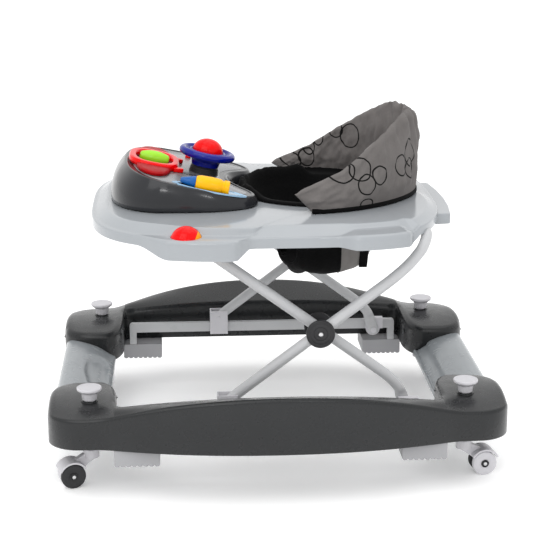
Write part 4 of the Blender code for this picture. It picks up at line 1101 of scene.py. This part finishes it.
def make_seat_wall():
    """The padded wall: one crowned, slightly creased band with a soft top edge and soft front ends."""
    columns, rows = 200, 30
    start, reach = math.radians(-NEAR_REACH), math.radians(NEAR_REACH + FAR_REACH)
    angles = [start + reach * k / columns for k in range(columns + 1)]
    rings = []
    prints = []
    runs = [0.0]
    for before, angle in zip(angles, angles[1:]):
        runs.append(runs[-1] + (wall_plan(angle) - wall_plan(before)).length)
    middle = next(run for run, angle in zip(runs, angles) if angle >= 0.0)
    for run, angle in zip(runs, angles):
        end = min(1.0, 12.0 * min(angle - angles[0], angles[-1] - angle) / reach * 2.0)
        plump = math.sqrt(max(0.0, 1.0 - (1.0 - end) ** 2))
        ring = []
        for side in (1.0, -1.0):
            for j in range(rows + 1):
                t = j / rows if side > 0.0 else 1.0 - j / rows
                edge = math.sqrt(max(0.0, 1.0 - (2.0 * max(0.0, t - 0.88) / 0.24) ** 2))
                crown = 0.0042 + 0.006 * math.sin(math.pi * min(1.0, t * 1.15)) ** 0.8
                puff = wall_puff(angle, t, side < 0.0) * plump * edge * smoothstep(0.06, 0.26, t)
                sag = 0.0026 * noise.noise(Vector((14.0 * angle, 6.0, 0.0))) * smoothstep(0.8, 1.0, t)
                point = wall_point(angle, t, side * ((0.0016 + crown * plump) * edge + puff))
                point.z += sag
                ring.append(point)
                print_u = run - middle + (INNER_PRINT if side < 0.0 else 0.0)
                prints.append((print_u, point.z - WALL_BOTTOM))
        rings.append(ring)
    mesh = loft("wall", rings)
    layer = mesh.uv_layers.new(name="print")
    for loop in mesh.loops:
        layer.data[loop.index].uv = prints[loop.vertex_index]
    wall = piece("wall_cover", mesh, "printed", "tray_body", ("seat_wall",), sharp=70.0)
    make_wall_binding(angles)


def make_wall_binding(angles):
    """Black tape folded over the wall's bottom edge, all the way round."""
    rings = []
    for angle in [angles[0] - 0.012] + angles[1:-1] + [angles[-1] + 0.012]:
        wave = 0.0006 * noise.noise(Vector((16.0 * angle, 1.0, 0.0)))
        section = rounded([(0.0066, 0.0), (0.0088, 0.0004), (0.0086, 0.0066), (0.0066, 0.0072),
                           (-0.0072, 0.007), (-0.009, 0.004), (-0.0088, 0.0), (0.0068, 0.0)], 0.0014,
                          2)[:-1]
        ring = []
        for outward, rise in section:
            point = wall_point(angle, 0.0, outward + wave)
            point.z += rise - 0.0001
            ring.append(point)
        rings.append(ring)
    piece("wall_binding", loft("binding", rings), "black_fabric", "tray_body", sharp=50.0)


BAG = ((0.085, 0.1215, 0.1165, 0.405), (0.086, 0.111, 0.109, 0.385), (0.0885, 0.093, 0.1005, 0.36),
       (0.09, 0.081, 0.094, 0.335), (0.0895, 0.0755, 0.089, 0.315), (0.088, 0.07, 0.081, 0.301),
       (0.086, 0.06, 0.07, 0.292), (0.085, 0.044, 0.052, 0.286), (0.085, 0.022, 0.026, 0.283),
       (0.085, 0.0006, 0.0006, 0.2825))


def rim_rows(angle):
    """The lining's upper rows: over the wall's foot behind, a soft roll on the tray in front."""
    c, s = math.cos(angle), math.sin(angle)
    degrees = abs(math.degrees(math.remainder(angle, math.tau)))
    front = smoothstep(88.0, 101.0, degrees)
    low = front * smoothstep(-0.3, -0.75, s) * smoothstep(1.0, 0.8, -c)
    hole = Vector((OPENING_CENTRE + 0.1235 * c, 0.1185 * s, 0.0))
    behind = wall_point(angle, 0.0, -0.0078)
    ahead = hole + Vector((c * 0.0125, s * 0.0125, 0.0))
    outer = behind.lerp(ahead, front)
    rows = []
    for share, tall_back, tall_front in ((1.0, 0.017, 0.0002), (1.03, 0.011, 0.008), (0.93, 0.004, 0.0145),
                                         (0.7, 0.0018, 0.0175), (0.4, 0.0014, 0.0172),
                                         (0.14, 0.0012, 0.012),
                                         (0.0, 0.0004, 0.0035)):
        rise = tall_back + (tall_front * (1.0 - 0.7 * low) - tall_back) * front
        crease = noise.noise(Vector((9.0 * c, 9.0 * s, 40.0 * rise))) * 0.0045 * front * (1.0 - low)
        point = hole.lerp(outer, share)
        point.z = WALL_BOTTOM + 0.0002 + max(0.0, rise + crease * smoothstep(0.002, 0.01, rise))
        rows.append(point)
    return rows


def bag_row(level, angle):
    """Point of the hanging bag at a fractional level of BAG, with upright folds."""
    k = min(int(level), len(BAG) - 2)
    t = level - k
    rows = [Vector(row) for row in BAG]
    cx, a, b, z = catmull(rows, k, t)
    power = 2.0 + 0.3 * smoothstep(0.0, 3.0, level)
    x, y = superellipse(angle, max(a, 0.0004), max(b, 0.0004), power)
    folds = noise.noise(Vector((3.2 * math.cos(angle), 3.2 * math.sin(angle), 9.0 * z)))
    fine = noise.noise(Vector((8.0 * math.cos(angle), 8.0 * math.sin(angle), 5.0 * z + 7.0)))
    deep = smoothstep(0.0, 2.5, level) * smoothstep(9.0, 6.0, level)
    grow = 1.0 + (0.05 * folds + 0.028 * fine) * deep
    return Vector((cx + x * grow, y * grow, z + 0.004 * folds * deep))


def make_sling():
    """The black bag with its rolled rim, two bound leg holes and a grey panel behind."""
    columns = 180
    rows = []
    for k in range(columns):
        angle = math.tau * k / columns
        column = rim_rows(angle)
        column += [bag_row(level / 4.0, angle) for level in range(4 * (len(BAG) - 1) + 1)]
        rows.append(column)
    rings = [[column[j] for column in rows] for j in range(len(rows[0]))]
    mesh = loft("sling", rings, caps=False)
    # The finished bag's own area before the leg holes are cut. It is not measured from a flat cut.
    skin = BVHTree.FromPolygons([v.co.copy() for v in mesh.vertices],
                                [tuple(f.vertices) for f in mesh.polygons])
    sling = piece("sling_lining", mesh, "black_fabric", "tray_body", ("seat_sling",), sharp=70.0,
                  thickness=0.0016)
    bindings = []
    for side, sign in SIDES.items():
        leg = revolve("leg", [(0.0, -0.1), (0.034, -0.1), (0.034, 0.06), (0.0, 0.06)], 48, "X")
        cut(sling, placed(leg, Matrix.Translation((0.0, sign * 0.047, 0.335))))
        bindings.append(leg_binding(side, sign, skin))
    panel = LOOKS["grey_fabric"][0]
    sling.data.materials.append(panel)
    for face in sling.data.polygons:
        if face.center.x > 0.109 and face.center.z < 0.385:
            face.material_index = len(sling.data.materials) - 1
    sling.data.set_sharp_from_angle(angle=math.radians(70.0))
    extras = [*bindings, make_seam(skin), make_strap(), make_loop()]


def tape(name, path, radius, closed=False, flat=1.0):
    """A thin rounded tape along a path."""
    count = len(path)
    rings = []
    for k, point in enumerate(path):
        ahead = path[(k + 1) % count] if closed else path[min(k + 1, count - 1)]
        behind = path[k - 1] if closed else path[max(k - 1, 0)]
        forward = (ahead - behind).normalized()
        side = forward.cross(Vector((0.3, 1.0, 0.2))).normalized()
        other = forward.cross(side)
        rings.append([point + side * (radius * math.cos(a)) + other * (radius * flat * math.sin(a))
                      for a in (math.tau * j / 10 for j in range(10))])
    return loft(name, rings, closed=closed)


def leg_binding(side, sign, skin):
    path = []
    for k in range(56):
        angle = math.tau * k / 56
        start = Vector((0.07, sign * 0.047 + 0.034 * math.cos(angle), 0.335 + 0.034 * math.sin(angle)))
        hit = skin.ray_cast(start, Vector((-1.0, 0.0, 0.0)))[0]
        if hit is not None:
            path.append(hit)
    return piece(side + "_leg_binding", tape("leg_binding", path, 0.0024, closed=True), "black_fabric",
                 "tray_body")


def make_seam(skin):
    """Black piping between the bag and its grey panel, down both sides and under the bottom."""
    path = []
    for k in range(61):
        angle = math.radians(-8.0 + 196.0 * k / 60.0)
        start = Vector((0.109, 0.0, 0.34))
        hit = skin.ray_cast(start, Vector((0.0, -math.cos(angle), -math.sin(angle))))[0]
        if hit is not None:
            path.append(hit)
    return piece("bag_seam", tape("seam", path, 0.0024), "black_fabric", "tray_body")


def make_strap():
    """A short webbing strap that hangs beside the bag, under the tray."""
    path = [(0.149, -0.106, 0.4), (0.149, -0.0985, 0.375), (0.149, -0.089, 0.345),
            (0.1485, -0.079, 0.32), (0.148, -0.0725, 0.304), (0.1478, -0.0715, 0.2985)]
    rings = []
    for k, (x, y, z) in enumerate(path):
        half = 0.007 if k < len(path) - 1 else 0.0066
        section = [(-half, -0.0009), (0.0, -0.0013), (half, -0.0009), (half, 0.0006), (0.0, 0.0009),
                   (-half, 0.0006)]
        rings.append([(x + a, y + b, z) for a, b in section])
    return piece("side_strap", loft("strap", rings), "black_fabric", "tray_body", sharp=40.0)


def make_loop():
    """A small cord loop at the bag's front."""
    path = []
    for k in range(25):
        angle = math.pi * (0.25 + 1.5 * k / 24.0)
        path.append(Vector((0.0165 + 0.007 * math.cos(angle), -0.06, 0.333 + 0.015 * math.sin(angle))))
    return piece("front_loop", tape("loop", path, 0.0011), "black_fabric", "tray_body")


# --- studio -------------------------------------------------------------

def area_light(name, place, target, size, power, colour=(1.0, 1.0, 1.0)):
    data = bpy.data.lights.new(name, "AREA")
    data.shape = "RECTANGLE"
    data.size, data.size_y = size
    data.energy = power
    data.color = colour
    item = bpy.data.objects.new(name, data)
    bpy.context.scene.collection.objects.link(item)
    item.location = place
    item.rotation_euler = (Vector(target) - Vector(place)).to_track_quat("-Z", "Y").to_euler()
    return item


def make_studio():
    world = bpy.data.worlds.new("studio")
    bpy.context.scene.world = world
    world.use_nodes = True
    background = world.node_tree.nodes["Background"]
    background.inputs["Color"].default_value = (1.0, 1.0, 1.0, 1.0)
    background.inputs["Strength"].default_value = 1.05
    area_light("key", (-0.9, -1.4, 2.3), (0.0, 0.0, 0.2), (1.9, 1.9), 17.0)
    area_light("top", (0.3, 0.4, 2.6), (0.0, 0.0, 0.2), (2.0, 2.0), 12.0)
    area_light("low_left", (-0.6, -2.2, 1.45), (0.0, 0.0, 0.35), (0.45, 0.1), 2.6)
    area_light("low_right", (0.5, -2.2, 1.45), (0.0, 0.0, 0.35), (0.45, 0.1), 2.6)
    corners = [(-FLOOR, -FLOOR, 0), (FLOOR, -FLOOR, 0), (FLOOR, FLOOR, 0), (-FLOOR, FLOOR, 0)]
    floor = bpy.data.objects.new("floor", make_mesh("floor", corners, [(0, 1, 2, 3)]))
    bpy.context.scene.collection.objects.link(floor)
    made, nodes, _ = new_material("floor")
    shader = nodes["Principled BSDF"]
    shader.inputs["Base Color"].default_value = (0.98, 0.98, 0.98, 1.0)
    shader.inputs["Roughness"].default_value = 0.9
    shader.inputs["Specular IOR Level"].default_value = 0.0
    shader.inputs["Emission Color"].default_value = (1.0, 1.0, 1.0, 1.0)
    shader.inputs["Emission Strength"].default_value = 0.16
    floor.data.materials.append(made)
    bpy.context.scene.view_settings.view_transform = "Standard"


def make_camera():
    target = Vector((0.0173, 0.0, 0.2593))
    azimuth, elevation = math.radians(-3.79), math.radians(15.4)
    distance = 2.665
    back = Vector((math.sin(azimuth) * math.cos(elevation), -math.cos(azimuth) * math.cos(elevation),
                   math.sin(elevation)))
    data = bpy.data.cameras.new("camera")
    data.sensor_width = 36.0
    data.lens = 36.0 * 1590.7 / 560.0
    item = bpy.data.objects.new("camera", data)
    bpy.context.scene.collection.objects.link(item)
    item.location = target + back * distance
    item.rotation_euler = (-back).to_track_quat("-Z", "Y").to_euler()
    bpy.context.scene.camera = item


def finish_kept_nodes():
    for side in SIDES:
        keep_node(side + "_slide_bar", "paint", 0.0012)
        keep_node(side + "_slider", "pale", 0.0012)
        keep_node(side + "_rear_pivot", "pale", 0.001)
        keep_node(side + "_tray_hinge", "cap", 0.001)
        for end in ENDS:
            # The grip pads take the darker pale plastic, which is painted shade for the shade under the
            # rails.
            keep_node(f"{end}_{side}_grip_pad", "pad", 0.0006)
    keep_node("height_rack", "cap", 0.0008)


make_camera()
make_studio()
make_rails()
make_crossbars()
make_castors()
make_frames()
make_hubs()
make_tray()
make_console()
make_toys()
make_seat_wall()
make_sling()
finish_kept_nodes()
